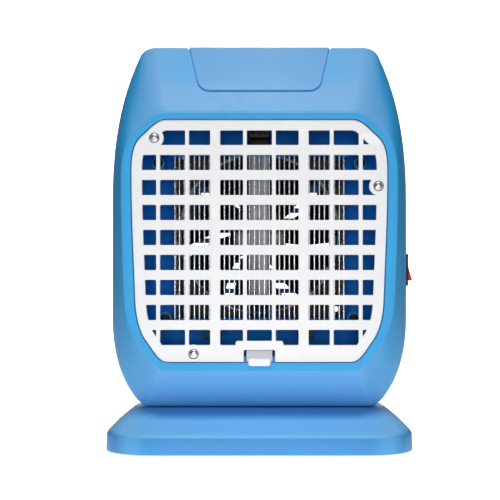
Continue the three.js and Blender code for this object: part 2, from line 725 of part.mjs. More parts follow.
function chamberWall() {
  const face = [chamber.y, chamberBackY];
  const opening = roundedRectangle(openingHalf, openingHeight / 2, chamber.openingCorner, fanZ);
  const rimEdge = roundedRectangle(
    openingHalf + chamber.rim,
    openingHeight / 2 + chamber.rim,
    chamber.openingCorner + chamber.rim,
    fanZ,
  );
  let body = plate(housingOutline(chamber.y, wall + gap), ...face);
  body = body.add(plate(rimEdge, chamber.y - chamber.rimDepth, chamberBackY));
  const half = fanScrewReach;
  for (const [sx, sz] of Object.values(corners)) {
    body = body.add(rodY(3.6, sx * half, fanZ + sz * half, chamber.y - chamber.padHeight, chamberBackY));
  }
  for (const [x, z] of Object.values(chamberScrews)) {
    body = body.add(rodY(chamberBoss.radius, x, z, chamber.y - chamberBoss.height, chamberBackY));
  }
  for (const [x, z] of boardPosts()) {
    body = body.add(rodY(board.postRadius, x, z, chamber.y + 1, board.y - gap));
  }
  const trayPath = block(
    [-tray.halfWidth - 1.5, tray.halfWidth + 1.5],
    [chamber.y - 10, chamberBackY + 1],
    [0, trayTop + 1],
  );
  const switchRoom = block(
    [housing.halfWidth + rockerSwitch.proud - rockerSwitch.depth - 8, housing.halfWidth],
    [chamber.y - 1, chamberBackY + 1],
    [switchZ - rockerSwitch.halfLength, switchZ + rockerSwitch.halfLength],
  );
  body = cut(body, plate(opening, chamber.y - 10, chamberBackY + 1), trayPath, switchRoom);
  for (const [sx, sz] of Object.values(corners)) {
    body = body.subtract(rodY(2.1, sx * half, fanZ + sz * half, chamber.y - 1, chamberBackY + 1, 10));
  }
  for (const [x, z] of Object.values(chamberScrews)) {
    body = cut(
      body,
      rodY(pilot, x, z, chamber.y - 5, chamberBackY + 1, 10),
      rodY(chamberBoss.headRoom, x, z, chamber.y - 5, chamber.y - chamberBoss.floor),
    );
  }
  for (const [x, z] of boardPosts()) {
    body = body.subtract(rodY(boardHole, x, z, board.y - 8, board.y, 10));
  }
  return body;
}

// Wire places round the cage, as [x, y], from the left side's rear to the right side's rear.
function wirePlaces() {
  const half = (cage.wires - 1) / 2;
  const front = Array.from({ length: cage.wires }, (_, i) => [(i - half) * wirePitch, cageFrontY]);
  const right = Array.from({ length: sideWires }, (_, i) => [cageSideX, cageFrontY + (i + 1) * wirePitch]);
  const left = right.map(([x, y]) => [-x, y]).reverse();
  return [...left, ...front, ...right];
}

// A strip that follows the cage on three sides, as wide as given.
function cageStrip(width, backY, z0, z1) {
  const edge = width / 2;
  const whole = block([-cageSideX - edge, cageSideX + edge], [cageFrontY - edge, backY], [z0, z1]);
  const core = block([-cageSideX + edge, cageSideX - edge], [cageFrontY + edge, backY + 1], [z0 - 1, z1 + 1]);
  return whole.subtract(core);
}

const sideEndY = cageFrontY + sideWires * wirePitch;

function gridHolder(z0, z1, grooveZ0, grooveZ1) {
  const groove = cageStrip(2 * (cage.wireRadius + gap), sideEndY + 1.5, grooveZ0, grooveZ1);
  return cut(cageStrip(cage.holderWidth, cageBackY, z0, z1), groove);
}

function gridWires(phase, busZ, fromZ, toZ) {
  let wires = cageStrip(2 * cage.wireRadius, sideEndY + cage.wireRadius, busZ, busZ + cage.bus);
  wirePlaces().forEach(([x, y], i) => {
    if (i % 2 === phase) wires = wires.add(rodZ(cage.wireRadius * 0.96, x, y, fromZ, toZ, 6));
  });
  return wires;
}

function addCage() {
  const { holderThickness, grooveDepth, bus } = cage;
  addNode(
    "grid_holder_top",
    gridHolder(cageTop, cageTop + holderThickness, cageTop - 1, cageTop + grooveDepth),
    "deepBlue",
  );
  addNode(
    "grid_holder_bottom",
    gridHolder(cageBottom - holderThickness, cageBottom, cageBottom - grooveDepth, cageBottom + 1),
    "deepBlue",
  );
  const topBus = cageTop + grooveDepth - gap - bus;
  const bottomBus = cageBottom - grooveDepth + gap;
  addNode("grid_wires_live", gridWires(0, topBus, bottomBus + bus + 0.4, topBus + 0.1), "steel");
  addNode("grid_wires_return", gridWires(1, bottomBus, bottomBus + bus - 0.1, topBus - 0.4), "steel");
  const underside = cageBottom - holderThickness - gap;
  for (const [side, name] of [
    [-1, "left"],
    [1, "right"],
  ]) {
    const x = side * cage.terminalShare * cageSideX;
    const reach = [x - 5, x + 5];
    const depth = [cageFrontY - cage.holderWidth / 2, cageFrontY + 8];
    addNode("grid_terminal_" + name, block(reach, depth, [underside - 5.5, underside]), "black");
  }
}

const lampTop = cageTop + 8;

function addLamp() {
  const { tubeRadius, tubeSpacing, capHalfX, capHalfY, capHeight } = lamp;
  const y = lampY;
  const length = lampLength;
  const tubes = [-1, 1].map((side) => {
    const capsule = new THREE.CapsuleGeometry(tubeRadius, length - 2 * tubeRadius, 3, 12);
    capsule.rotateX(Math.PI / 2).translate((side * tubeSpacing) / 2, y, lampTop - length / 2);
    return toSolid(capsule);
  });
  const bridgeZ = lampTop - length + 7;
  const bridge = rod(1.6, [-tubeSpacing / 2, y, bridgeZ], [tubeSpacing / 2, y, bridgeZ], 10);
  addNode("lamp_tube", join(...tubes, bridge), "glass");

  const capBottom = lampTop - 4.6;
  const capTop = capBottom + capHeight;
  const well = block(
    [-tubeSpacing / 2, tubeSpacing / 2],
    [y - tubeRadius - gap, y + tubeRadius + gap],
    [capBottom - 1, lampTop + gap],
  );
  const wells = [-1, 1].map((side) =>
    rodZ(tubeRadius + gap, (side * tubeSpacing) / 2, y, capBottom - 1, lampTop + gap),
  );
  const cap = block([-capHalfX, capHalfX], [y - capHalfY, y + capHalfY], [capBottom, capTop]);
  const spigot = rodZ(3.6, 0, y, capTop - 0.5, capTop + 6);
  addNode("lamp_cap", cut(join(cap, spigot), well, ...wells), "black");

  const socketTop = capTop + 13;
  const socket = block([-capHalfX, capHalfX], [y - 6, y + 6], [capTop + gap, socketTop]);
  addNode("lamp_socket", socket.subtract(rodZ(3.6 + gap, 0, y, capTop, capTop + 7)), "black");

  const shelf = block([-12, 12], [y - 9, chamber.y - gap], [socketTop + gap, socketTop + gap + 2]);
  const flange = block([-12, 12], [chamber.y - gap - 2, chamber.y - gap], [socketTop + gap, socketTop + 18]);
  addNode("lamp_bracket", shelf.add(flange), "steel");
}

function addChamber() {
  addNode("chamber_wall", chamberWall(), "deepBlue");
  for (const [corner, place] of Object.entries(chamberScrews)) {
    const seatY = chamber.y - chamberBoss.floor - gap;
    addNode("chamber_screw_" + corner, screwY(3, 1.6, 1.6, 15, place, seatY, 1), "steel");
  }
}

// ---- Fan ---------------------------------------------------------------------------------------------------

const hubBackY = fanFrontY + 20;

function fanFrame() {
  const square = roundedRectangle(fan.size / 2, fan.size / 2, fan.cornerRadius, fanZ, 3);
  const duct = rodY(ductRadius, 0, fanZ, fanFrontY - 1, fanBackY + 1, 40);
  let frame = plate(square, fanFrontY, fanBackY).subtract(duct);
  for (let i = 0; i < 4; i++) {
    const angle = (i + 0.5) * (Math.PI / 2);
    const reach = ductRadius + 0.6;
    const start = new THREE.Vector3(10 * Math.cos(angle), fanBackY - 1.8, fanZ + 10 * Math.sin(angle));
    const end = new THREE.Vector3(reach * Math.cos(angle), fanBackY - 1.8, fanZ + reach * Math.sin(angle));
    frame = frame.add(rod(1.8, start.toArray(), end.toArray(), 8));
  }
  const bearingSeat = fan.shaftRadius + 2 + 2 * gap;
  frame = join(
    frame,
    rodY(fan.hubRadius - 1, 0, fanZ, fanBackY - 3.2, fanBackY),
    rodY(bearingSeat + 1.9, 0, fanZ, fanFrontY + 10.5, fanBackY - 1),
  );
  frame = frame.subtract(rodY(bearingSeat, 0, fanZ, fanFrontY, fanBackY - 2));
  const half = fanScrewReach;
  for (const [sx, sz] of Object.values(corners)) {
    frame = frame.subtract(rodY(2.2, sx * half, fanZ + sz * half, fanFrontY - 1, fanBackY + 1, 10));
  }
  return frame;
}

// Corners of a blade's cross-section, as [station along the chord, side of its thickness].
const bladeSection = [-1, 1].flatMap((side) => [-1, -0.33, 0.33, 1].map((station) => [-side * station, side]));

// One blade, from the hub out: its chord grows, its pitch flattens and it leans towards the turn.
function fanBlade(startAngle) {
  const rings = [];
  const tip = ductRadius - fan.tipClearance;
  const root = fan.hubRadius - 0.8;
  const middleY = fanFrontY + 10;
  for (let i = 0; i <= 4; i++) {
    const t = i / 4;
    const radius = THREE.MathUtils.lerp(root, tip, t);
    const chord = THREE.MathUtils.lerp(root * 1.154, tip * 0.822, t);
    const pitch = THREE.MathUtils.degToRad(THREE.MathUtils.lerp(48, 24, t));
    const ring = [];
    for (const [station, side] of bladeSection) {
      const along = (station * chord) / 2;
      const camber = 1.8 * (1 - station ** 2);
      const across = side * 0.7 + camber;
      const arc = along * Math.cos(pitch) - across * Math.sin(pitch);
      const angle = startAngle + 0.28 * t + arc / radius;
      const y = middleY + along * Math.sin(pitch) + across * Math.cos(pitch);
      ring.push(new THREE.Vector3(radius * Math.cos(angle), y, fanZ + radius * Math.sin(angle)));
    }
    rings.push(ring);
  }
  return skin(rings);
}

function fanImpeller() {
  const frontY = fanFrontY + 2.6;
  const hub = rodY(fan.hubRadius, 0, fanZ, frontY, hubBackY, 32);
  const inside = rodY(fan.hubRadius - 2, 0, fanZ, frontY + 2, hubBackY + 1, 32);
  let impeller = join(cut(hub, inside), rodY(3.8, 0, fanZ, frontY + 1, frontY + 6.5));
  for (let i = 0; i < fan.blades; i++) {
    impeller = impeller.add(fanBlade((i / fan.blades) * 2 * Math.PI).subtract(inside));
  }
  return impeller.subtract(rodY(fan.shaftRadius + gap, 0, fanZ, frontY + 2, frontY + 8));
}

function addFan() {
  addNode("fan_frame", fanFrame(), "black");
  addNode("fan_impeller", fanImpeller(), "black");
  const seat = fan.shaftRadius + 2 + gap;
  const bearing = rodY(seat, 0, fanZ, fanFrontY + 10.8, fanBackY - 2 - gap);
  addNode("fan_bearing", bearing.subtract(rodY(fan.shaftRadius + gap, 0, fanZ, 0, fanBackY)), "brass");
  addNode("fan_shaft", rodY(fan.shaftRadius, 0, fanZ, fanFrontY + 4.9, fanBackY - 3, 16), "steel");
  const statorRadius = fan.hubRadius - 3.4;
  let stator = rodY(statorRadius, 0, fanZ, fanFrontY + 11, hubBackY - 1.5, 24);
  stator = stator.subtract(rodY(seat + 1.9 + 2 * gap, 0, fanZ, fanFrontY, fanBackY));
  for (let i = 0; i < 6; i++) {
    const angle = (i / 6) * 2 * Math.PI;
    const x = statorRadius * Math.cos(angle);
    const z = fanZ + statorRadius * Math.sin(angle);
    stator = stator.subtract(rodY(2.6, x, z, fanFrontY, fanBackY, 8));
  }
  addNode("fan_motor", stator, "copper");
  for (const [name, side] of [
    ["upper_left", -1],
    ["lower_right", 1],
  ]) {
    const place = [side * fanScrewReach, fanZ - side * fanScrewReach];
    addNode("fan_screw_" + name, screwY(3.2, 2, 1.8, fan.depth + 3, place, fanBackY + gap, -1), "steel");
  }
}

// ---- Catch tray --------------------------------------------------------------------------------------------

function catchTray() {
  const { halfWidth, frontRun, wall: skinThickness, faceMargin } = tray;
  const frontY = trayFrontY;
  const backY = rearInnerY;
  const profile = (t, lift) => [
    [frontY + frontRun + t, trayBottom + t],
    [backY - t, trayBottom + t],
    [backY - t, trayTop + lift],
    [frontY + t - (lift ? (lift * frontRun) / tray.height : 0), trayTop + lift],
  ];
  const body = prismX(profile(0, 0), -halfWidth, halfWidth);
  const hollow = prismX(profile(skinThickness, 2), -halfWidth + skinThickness, halfWidth - skinThickness);
  const faceHalf = halfWidth + faceMargin;
  const face = block([-faceHalf, faceHalf], [backY - 0.1, housing.rearY], [trayBottom - 1, trayTop + 2]);
  const pull = block([-14, 14], [housing.rearY - 1, housing.rearY + 2.8], [trayTop - 3, trayTop - 0.4]);
  return join(cut(body, hollow), face, pull);
}

// ---- Rocker switch -----------------------------------------------------------------------------------------

const rockerPivot = { x: housing.halfWidth + rockerSwitch.proud - 3, z: switchZ };
const terminalRise = 4; // of each switch terminal, above or below the pivot

function switchBody() {
  const { y, halfLength, halfWidth, proud, depth, rockerHalf } = rockerSwitch;
  const faceX = housing.halfWidth + proud;
  const flange = block(
    [housing.halfWidth + gap, faceX],
    [y - halfWidth, y + halfWidth],
    [switchZ - halfLength, switchZ + halfLength],
  );
  const bodyY = [y - halfWidth + 1.5, y + halfWidth - 1.5];
  const bodyZ = [switchZ - halfLength + 1.2, switchZ + halfLength - 1.2];
  const body = block([faceX - depth - 4, housing.halfWidth + gap + 0.5], bodyY, bodyZ);
  const well = block(
    [faceX - depth, faceX + 1],
    [y - halfWidth + 3, y + halfWidth - 3],
    [switchZ - rockerHalf - 0.8, switchZ + rockerHalf + 0.8],
  );
  const { x: pivotX, z: pivotZ } = rockerPivot;
  const pivotHole = rod(1.3, [pivotX, y - halfWidth + 2, pivotZ], [pivotX, y + halfWidth - 2, pivotZ], 12);
  const holeX = [faceX - depth - 5, faceX - depth + 1];
  const holes = [-terminalRise, terminalRise].map((rise) =>
    block(holeX, [y - 1.9, y + 1.9], [switchZ + rise - 0.8, switchZ + rise + 0.8]),
  );
  return cut(join(flange, body), well, pivotHole, ...holes);
}

// The rocker's V-shaped face over a rounded belly, tilted to the on side, with a trunnion at each side.
function switchRocker() {
  const { y, halfWidth, rockerHalf, tilt } = rockerSwitch;
  const profile = [
    [-rockerHalf, 2.2],
    [0, 1.4],
    [rockerHalf, 2.2],
    [rockerHalf, -0.6],
    [4.5, -6],
    [-4.5, -6],
    [-rockerHalf, -0.6],
  ];
  const angle = THREE.MathUtils.degToRad(tilt);
  const { x: pivotX, z: pivotZ } = rockerPivot;
  const turned = profile.map(([u, v]) => [
    pivotX + (v + 2.4) * Math.cos(angle) - u * Math.sin(angle),
    pivotZ + u * Math.cos(angle) + (v + 2.4) * Math.sin(angle),
  ]);
  const half = halfWidth - 3 - gap;
  const body = skin([y - half, y + half].map((at) => turned.map(([x, z]) => new THREE.Vector3(x, at, z))));
  const trunnion = rod(1, [pivotX, y - half - 1, pivotZ], [pivotX, y + half + 1, pivotZ], 12);
  return body.add(trunnion);
}

function addSwitch() {
  addNode("switch_body", switchBody(), "black");
  addNode("switch_rocker", switchRocker(), "red");
  const innerX = housing.halfWidth + rockerSwitch.proud - rockerSwitch.depth;
  for (const [side, name] of [
    [-1, "lower"],
    [1, "upper"],
  ]) {
    const z = switchZ + side * terminalRise;
    const bladeY = [rockerSwitch.y - 1.6, rockerSwitch.y + 1.6];
    const blade = block([innerX - 7, innerX + 0.6], bladeY, [z - 0.5, z + 0.5]);
    addNode("switch_terminal_" + name, blade, "brass");
  }
}

// ---- Power inlet and circuit board -------------------------------------------------------------------------

function powerInlet() {
  const { halfWidth, halfHeight, depth, flange, pinRadius, pinSpacing } = inlet;
  const backY = housing.rearY + gap;
  const bodyZ = [inletZ - halfHeight, inletZ + halfHeight];
  const body = block([-halfWidth, halfWidth], [backY - depth, backY + 0.5], bodyZ);
  const rimPlate = block(
    [-halfWidth - flange, halfWidth + flange],
    [backY, backY + 1.5],
    [inletZ - halfHeight - flange, inletZ + halfHeight + flange],
  );
  const cavityY = [backY - depth + 4, backY + 2];
  const lobes = [-1, 1].map((side) => rodY(3.9, (side * pinSpacing) / 2, inletZ, ...cavityY));
  const waist = block([-pinSpacing / 2, pinSpacing / 2], cavityY, [inletZ - 2.9, inletZ + 2.9]);
  const pinHoles = [-1, 1].map((side) =>
    rodY(pinRadius + gap, (side * pinSpacing) / 2, inletZ, backY - depth - 1, backY, 12),
  );
  return cut(body.add(rimPlate), ...lobes, waist, ...pinHoles);
}

const boardPostX = board.halfWidth - 5;
const boardHole = 1.7;

// Standoffs that carry the board, as [x, z].
function boardPosts() {
  return [-1, 1].flatMap((side) => [
    [side * boardPostX, boardTop - 4],
    [side * boardPostX, boardBottom + 4],
  ]);
}

function addElectrics() {
  addNode("power_inlet", powerInlet(), "black");
  for (const [side, name] of [
    [-1, "left"],
    [1, "right"],
  ]) {
    const y0 = housing.rearY - inlet.depth - 5;
    const x = (side * inlet.pinSpacing) / 2;
    addNode("inlet_pin_" + name, rodY(inlet.pinRadius, x, inletZ, y0, housing.rearY - 2, 12), "brass");
  }

  const boardY = [board.y, board.y + board.thickness];
  let circuitBoard = block([-board.halfWidth, board.halfWidth], boardY, [boardBottom, boardTop]);
  for (const [x, z] of boardPosts()) {
    circuitBoard = circuitBoard.subtract(rodY(boardHole, x, z, board.y - 1, board.y + 4, 10));
  }
  addNode("circuit_board", circuitBoard, "greenBoard");

  const seatY = board.y + board.thickness + gap;
  for (const [side, name] of [
    [-1, "left"],
    [1, "right"],
  ]) {
    const place = [side * boardPostX, boardTop - 4];
    addNode("board_screw_" + name, screwY(2.8, 1.6, 1.4, 8, place, seatY, -1), "steel");
  }
  const coreZ = boardBottom + 20;
  const core = block([-29, -9], [seatY, seatY + 17], [coreZ - 11, coreZ + 11]);
  addNode("transformer", core, "yellow");
  const choke = rodY(7.5, 21, boardBottom + 17, seatY, seatY + 13, 20);
  addNode("lamp_choke", choke, "copper");
  for (const [i, x] of [0, 12].entries()) {
    const name = "storage_capacitor_" + (i + 1);
    addNode(name, rodY(5, x, boardBottom + 30, seatY, seatY + 15, 18), "black");
  }
  const film = block([-3, 11], [seatY, seatY + 10], [boardBottom + 9, boardBottom + 17]);
  addNode("film_capacitor", film, "red");
}

addFoot();
addHousing();
addGrille();
addChamber();
addCage();
addLamp();
addFan();
addNode("catch_tray", catchTray(), "blue");
addSwitch();
addElectrics();

export default insectKiller;
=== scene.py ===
"""Looks of the desktop insect killer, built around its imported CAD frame.

Shapes are worked out in millimetres, in the CAD's own frame, and turned into metres as each piece is made.
"""
import json
import math

import bmesh
import bpy
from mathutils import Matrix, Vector

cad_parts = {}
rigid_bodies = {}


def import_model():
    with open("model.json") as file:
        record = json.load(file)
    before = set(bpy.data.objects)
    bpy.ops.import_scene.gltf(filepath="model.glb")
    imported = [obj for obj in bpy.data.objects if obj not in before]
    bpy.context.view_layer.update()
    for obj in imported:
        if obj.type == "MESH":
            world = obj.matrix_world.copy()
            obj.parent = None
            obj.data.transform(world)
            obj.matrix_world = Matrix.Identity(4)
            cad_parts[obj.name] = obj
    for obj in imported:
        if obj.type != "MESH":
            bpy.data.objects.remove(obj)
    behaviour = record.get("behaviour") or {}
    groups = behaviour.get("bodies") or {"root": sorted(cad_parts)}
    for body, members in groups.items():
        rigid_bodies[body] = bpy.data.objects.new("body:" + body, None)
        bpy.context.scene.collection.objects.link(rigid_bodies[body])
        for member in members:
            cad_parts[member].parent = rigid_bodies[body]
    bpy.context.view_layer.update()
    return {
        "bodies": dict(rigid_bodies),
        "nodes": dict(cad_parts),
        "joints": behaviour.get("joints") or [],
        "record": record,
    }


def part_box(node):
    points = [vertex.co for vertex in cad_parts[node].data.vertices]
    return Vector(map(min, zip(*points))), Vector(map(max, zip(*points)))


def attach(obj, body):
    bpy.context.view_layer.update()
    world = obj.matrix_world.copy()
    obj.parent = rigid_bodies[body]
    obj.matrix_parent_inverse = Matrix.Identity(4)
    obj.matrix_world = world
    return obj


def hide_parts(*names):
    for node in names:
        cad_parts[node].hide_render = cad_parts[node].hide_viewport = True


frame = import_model()

MM = 0.001
GAP = 0.3  # between CAD pieces that touch


def node_box(name):
    """Lowest and highest corner of a CAD node, in millimetres."""
    low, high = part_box(name)
    return low / MM, high / MM


def middle(name):
    low, high = node_box(name)
    return (low + high) / 2


def middle_xz(name):
    """A CAD node's middle as seen from the front."""
    centre = middle(name)
    return (centre.x, centre.z)


def add_object(name, data):
    made = bpy.data.objects.new(name, data)
    bpy.context.scene.collection.objects.link(made)
    return made


# ---- Camera and light ----------------------------------------------------------------------------

EYE = Vector((0, -0.8, 0.1111))
LENS = 87.8
SENSOR = 36
SHIFT_X, SHIFT_Y = -0.0188, 0.05


def add_camera():
    data = bpy.data.cameras.new("camera")
    data.lens = LENS
    data.sensor_width = SENSOR
    data.shift_x, data.shift_y = SHIFT_X, SHIFT_Y
    data.clip_start = 0.05
    camera = add_object("camera", data)
    camera.location = EYE
    camera.rotation_euler = (math.pi / 2, 0, 0)
    bpy.context.scene.camera = camera


def add_softbox(name, place, aim, size, power):
    data = bpy.data.lights.new(name, "AREA")
    data.shape = "RECTANGLE"
    data.size, data.size_y = size
    data.energy = power
    light = add_object(name, data)
    light.location = place
    light.rotation_euler = (Vector(aim) - Vector(place)).to_track_quat("-Z", "Y").to_euler()


def add_lights():
    heart = (0, 0, 0.13)
    add_softbox("key", (0, -0.85, 1.45), heart, (0.4, 0.5), 14)
    add_softbox("low_front", (0, -1.4, 0.12), heart, (0.4, 0.2), 3)
    add_softbox("overhead", (0, 0.2, 1.5), heart, (0.4, 0.5), 2.5)
    add_softbox("rear_sheen", (0, 1.4, 1.15), (0, 0, 0.05), (0.5, 0.7), 7)
    add_softbox("backdrop", (0, 1.3, 0.9), (0, 2.4, 0.4), (1.4, 0.5), 20)
    world = bpy.data.worlds.new("studio")
    bpy.context.scene.world = world
    world.use_nodes = True
    background = world.node_tree.nodes["Background"]
    background.inputs["Color"].default_value = (0.95, 0.97, 1, 1)
    background.inputs["Strength"].default_value = 0.05
    bpy.context.scene.view_settings.view_transform = "Standard"


# ---- Materials -----------------------------------------------------------------------------------


class Nodes:
    """A material's node tree, with short calls to add nodes and wire them."""

    def __init__(self, name):
        self.material = bpy.data.materials.new(name)
        self.material.use_nodes = True
        self.tree = self.material.node_tree
        self.shader = self.tree.nodes["Principled BSDF"]
        self.place = self.add("ShaderNodeTexCoord").outputs["Object"]

    def add(self, kind, **settings):
        node = self.tree.nodes.new(kind)
        for key, value in settings.items():
            setattr(node, key, value)
        return node

    def link(self, source, target):
        self.tree.links.new(source, target)

    def noise(self, scale, detail=2.0, stretch=(1, 1, 1)):
        mapping = self.add("ShaderNodeMapping")
        mapping.inputs["Scale"].default_value = stretch
        self.link(self.place, mapping.inputs["Vector"])
        node = self.add("ShaderNodeTexNoise")
        node.inputs["Scale"].default_value = scale
        node.inputs["Detail"].default_value = detail
        self.link(mapping.outputs["Vector"], node.inputs["Vector"])
        return node.outputs["Fac"]

    def remap(self, value, low, high, to_low=0.0, to_high=1.0):
        node = self.add("ShaderNodeMapRange")
        self.link(value, node.inputs["Value"])
        ends = {"From Min": low, "From Max": high, "To Min": to_low, "To Max": to_high}
        for socket, number in ends.items():
            node.inputs[socket].default_value = number
        return node.outputs["Result"]

    def mix(self, factor, first, second):
        """Colour between two others; each may be a colour or an output."""
        node = self.add("ShaderNodeMix", data_type="RGBA")
        self.link(factor, node.inputs["Factor"])
        for socket, colour in (("A", first), ("B", second)):
            target = [s for s in node.inputs if s.name == socket and s.type == "RGBA"][0]
            if isinstance(colour, bpy.types.NodeSocket):
                self.link(colour, target)
            else:
                target.default_value = (*colour, 1)
        return [s for s in node.outputs if s.type == "RGBA"][0]

    def bump(self, height, strength, distance):
        node = self.add("ShaderNodeBump")
        node.inputs["Strength"].default_value = strength
        node.inputs["Distance"].default_value = distance
        self.link(height, node.inputs["Height"])
        self.link(node.outputs["Normal"], self.shader.inputs["Normal"])

    def size_of(self, vector, axis):
        """How large a vector's part along an axis is, whichever way it runs."""
        parts = self.add("ShaderNodeSeparateXYZ")
        self.link(vector, parts.inputs["Vector"])
        size = self.add("ShaderNodeMath", operation="ABSOLUTE")
        self.link(parts.outputs[axis], size.inputs[0])
        return size.outputs["Value"]

    def times(self, first, second):
        node = self.add("ShaderNodeMath", operation="MULTIPLY")
        self.link(first, node.inputs[0])
        self.link(second, node.inputs[1])
        return node.outputs["Value"]

    def tilt(self, low, high):
        """Mask of the painted sheen: 0 where the surface faces the viewer or its own sides, 1 where it
        leans up or down.
        """
        weight = self.add("ShaderNodeLayerWeight")
        weight.inputs["Blend"].default_value = 0.5
        leaning = self.remap(weight.outputs["Facing"], low, high)
        normal = self.add("ShaderNodeTexCoord").outputs["Normal"]
        return self.times(leaning, self.remap(self.size_of(normal, "X"), 0.3, 0.75, 1, 0))

    def edges(self, low=0.52, high=0.58):
        """Near 1 on convex edges."""
        geometry = self.add("ShaderNodeNewGeometry")
        return self.remap(geometry.outputs["Pointiness"], low, high)

    def set(self, socket, value):
        self.shader.inputs[socket].default_value = value


def lighter(colour, factor):
    return tuple(min(1.0, c * factor) for c in colour)


def plastic(name, colour, roughness, grain=0.25, spread=0.05, worn=1.25, specular=0.5, painted_sheen=None):
    """Moulded plastic: a fine grain, slow changes in colour and gloss, and paler rubbed edges.

    A painted sheen is a paler colour painted where the surface leans up or down, standing in for light
    reflected there.
    """
    nodes = Nodes(name)
    slow = nodes.remap(nodes.noise(45), 0.3, 0.7)
    tone = nodes.mix(slow, lighter(colour, 1 - spread), lighter(colour, 1 + spread))
    if painted_sheen:
        # painted sheen: a paler colour where the surface leans up or down, standing in for reflected light
        tone = nodes.mix(nodes.tilt(0.02, 0.22), tone, painted_sheen)
    rubbed = nodes.mix(nodes.edges(), tone, lighter(colour, worn))
    nodes.link(rubbed, nodes.shader.inputs["Base Color"])
    gloss = nodes.remap(nodes.noise(160, 4), 0.3, 0.7, roughness - 0.04, roughness + 0.06)
    nodes.link(gloss, nodes.shader.inputs["Roughness"])
    nodes.bump(nodes.noise(2600, 3), grain, 0.00004)
    nodes.set("Specular IOR Level", specular)
    return nodes.material


def metal(name, colour, roughness, stretch=(1, 1, 1), grain=0.3):
    """Metal with fine marks drawn out along one direction and duller patches."""
    nodes = Nodes(name)
    marks = nodes.noise(900, 4, stretch)
    tone = nodes.mix(nodes.remap(marks, 0.3, 0.7), lighter(colour, 0.82), lighter(colour, 1.12))
    bright = nodes.mix(nodes.edges(), tone, lighter(colour, 1.4))
    nodes.link(bright, nodes.shader.inputs["Base Color"])
    gloss = nodes.remap(nodes.noise(220, 3), 0.3, 0.7, roughness - 0.06, roughness + 0.1)
    nodes.link(gloss, nodes.shader.inputs["Roughness"])
    nodes.set("Metallic", 1)
    nodes.bump(marks, grain, 0.00003)
    return nodes.material


def rubber(name, colour):
    nodes = Nodes(name)
    dust = nodes.remap(nodes.noise(300, 6), 0.5, 0.75)
    tone = nodes.mix(dust, colour, lighter(colour, 2.5))
    nodes.link(tone, nodes.shader.inputs["Base Color"])
    gloss = nodes.remap(nodes.noise(500), 0.3, 0.7, 0.7, 0.9)
    nodes.link(gloss, nodes.shader.inputs["Roughness"])
    nodes.bump(nodes.noise(1800, 4), 0.5, 0.00008)
    return nodes.material


def phosphor_glass(name):
    """A lamp tube: white phosphor inside clear glass, with dark and light streaks along its length painted
    in as reflections in the glass.
    """
    nodes = Nodes(name)
    reflection_streaks = nodes.noise(420, 3, (1, 1, 0.02))
    # painted reflection: dark and light streaks in the tube's colour stand in for reflections in its glass
    tone = nodes.mix(nodes.remap(reflection_streaks, 0.35, 0.65), (0.33, 0.34, 0.37), (0.86, 0.87, 0.9))
    nodes.link(tone, nodes.shader.inputs["Base Color"])
    gloss = nodes.remap(nodes.noise(120), 0.3, 0.7, 0.18, 0.3)
    nodes.link(gloss, nodes.shader.inputs["Roughness"])
    nodes.set("Coat Weight", 1)
    nodes.set("Coat Roughness", 0.04)
    nodes.bump(reflection_streaks, 0.2, 0.0001)
    return nodes.material


def studio_paper(name, glow):
    """White paper; a glow stands for the light table under it."""
    nodes = Nodes(name)
    tone = nodes.mix(nodes.noise(3), (0.86, 0.86, 0.86), (0.9, 0.9, 0.9))
    nodes.link(tone, nodes.shader.inputs["Base Color"])
    nodes.set("Roughness", 0.9)
    nodes.set("Emission Color", (1, 1, 1, 1))
    if glow:
        falloff = nodes.remap(nodes.size_of(nodes.place, "X"), 0.07, 0.13, glow, glow * 0.55)
        nodes.link(falloff, nodes.shader.inputs["Emission Strength"])
    return nodes.material


BLUE = (0.03, 0.36, 0.74)
# painted sheen of the housing: a paler blue standing in for light reflected on its slopes
BLUE_PAINTED_SHEEN = (0.14, 0.4, 0.74)
# the foot is the housing's plastic: its face colour is painted darker and its painted sheen paler, standing
# in for how the light falls on it
FOOT_BLUE_PAINTED_SHADE = (0.05, 0.27, 0.58)
FOOT_PAINTED_SHEEN = (0.2, 0.56, 0.95)
# the chamber's plastic is the housing's blue, painted bluer and brighter in blue to make up for the shade
# inside the chamber
CHAMBER_BLUE_PAINTED_LIGHT = (0.001, 0.27, 0.98)
WHITE = (0.86, 0.86, 0.87)
BLACK = (0.008, 0.008, 0.009)

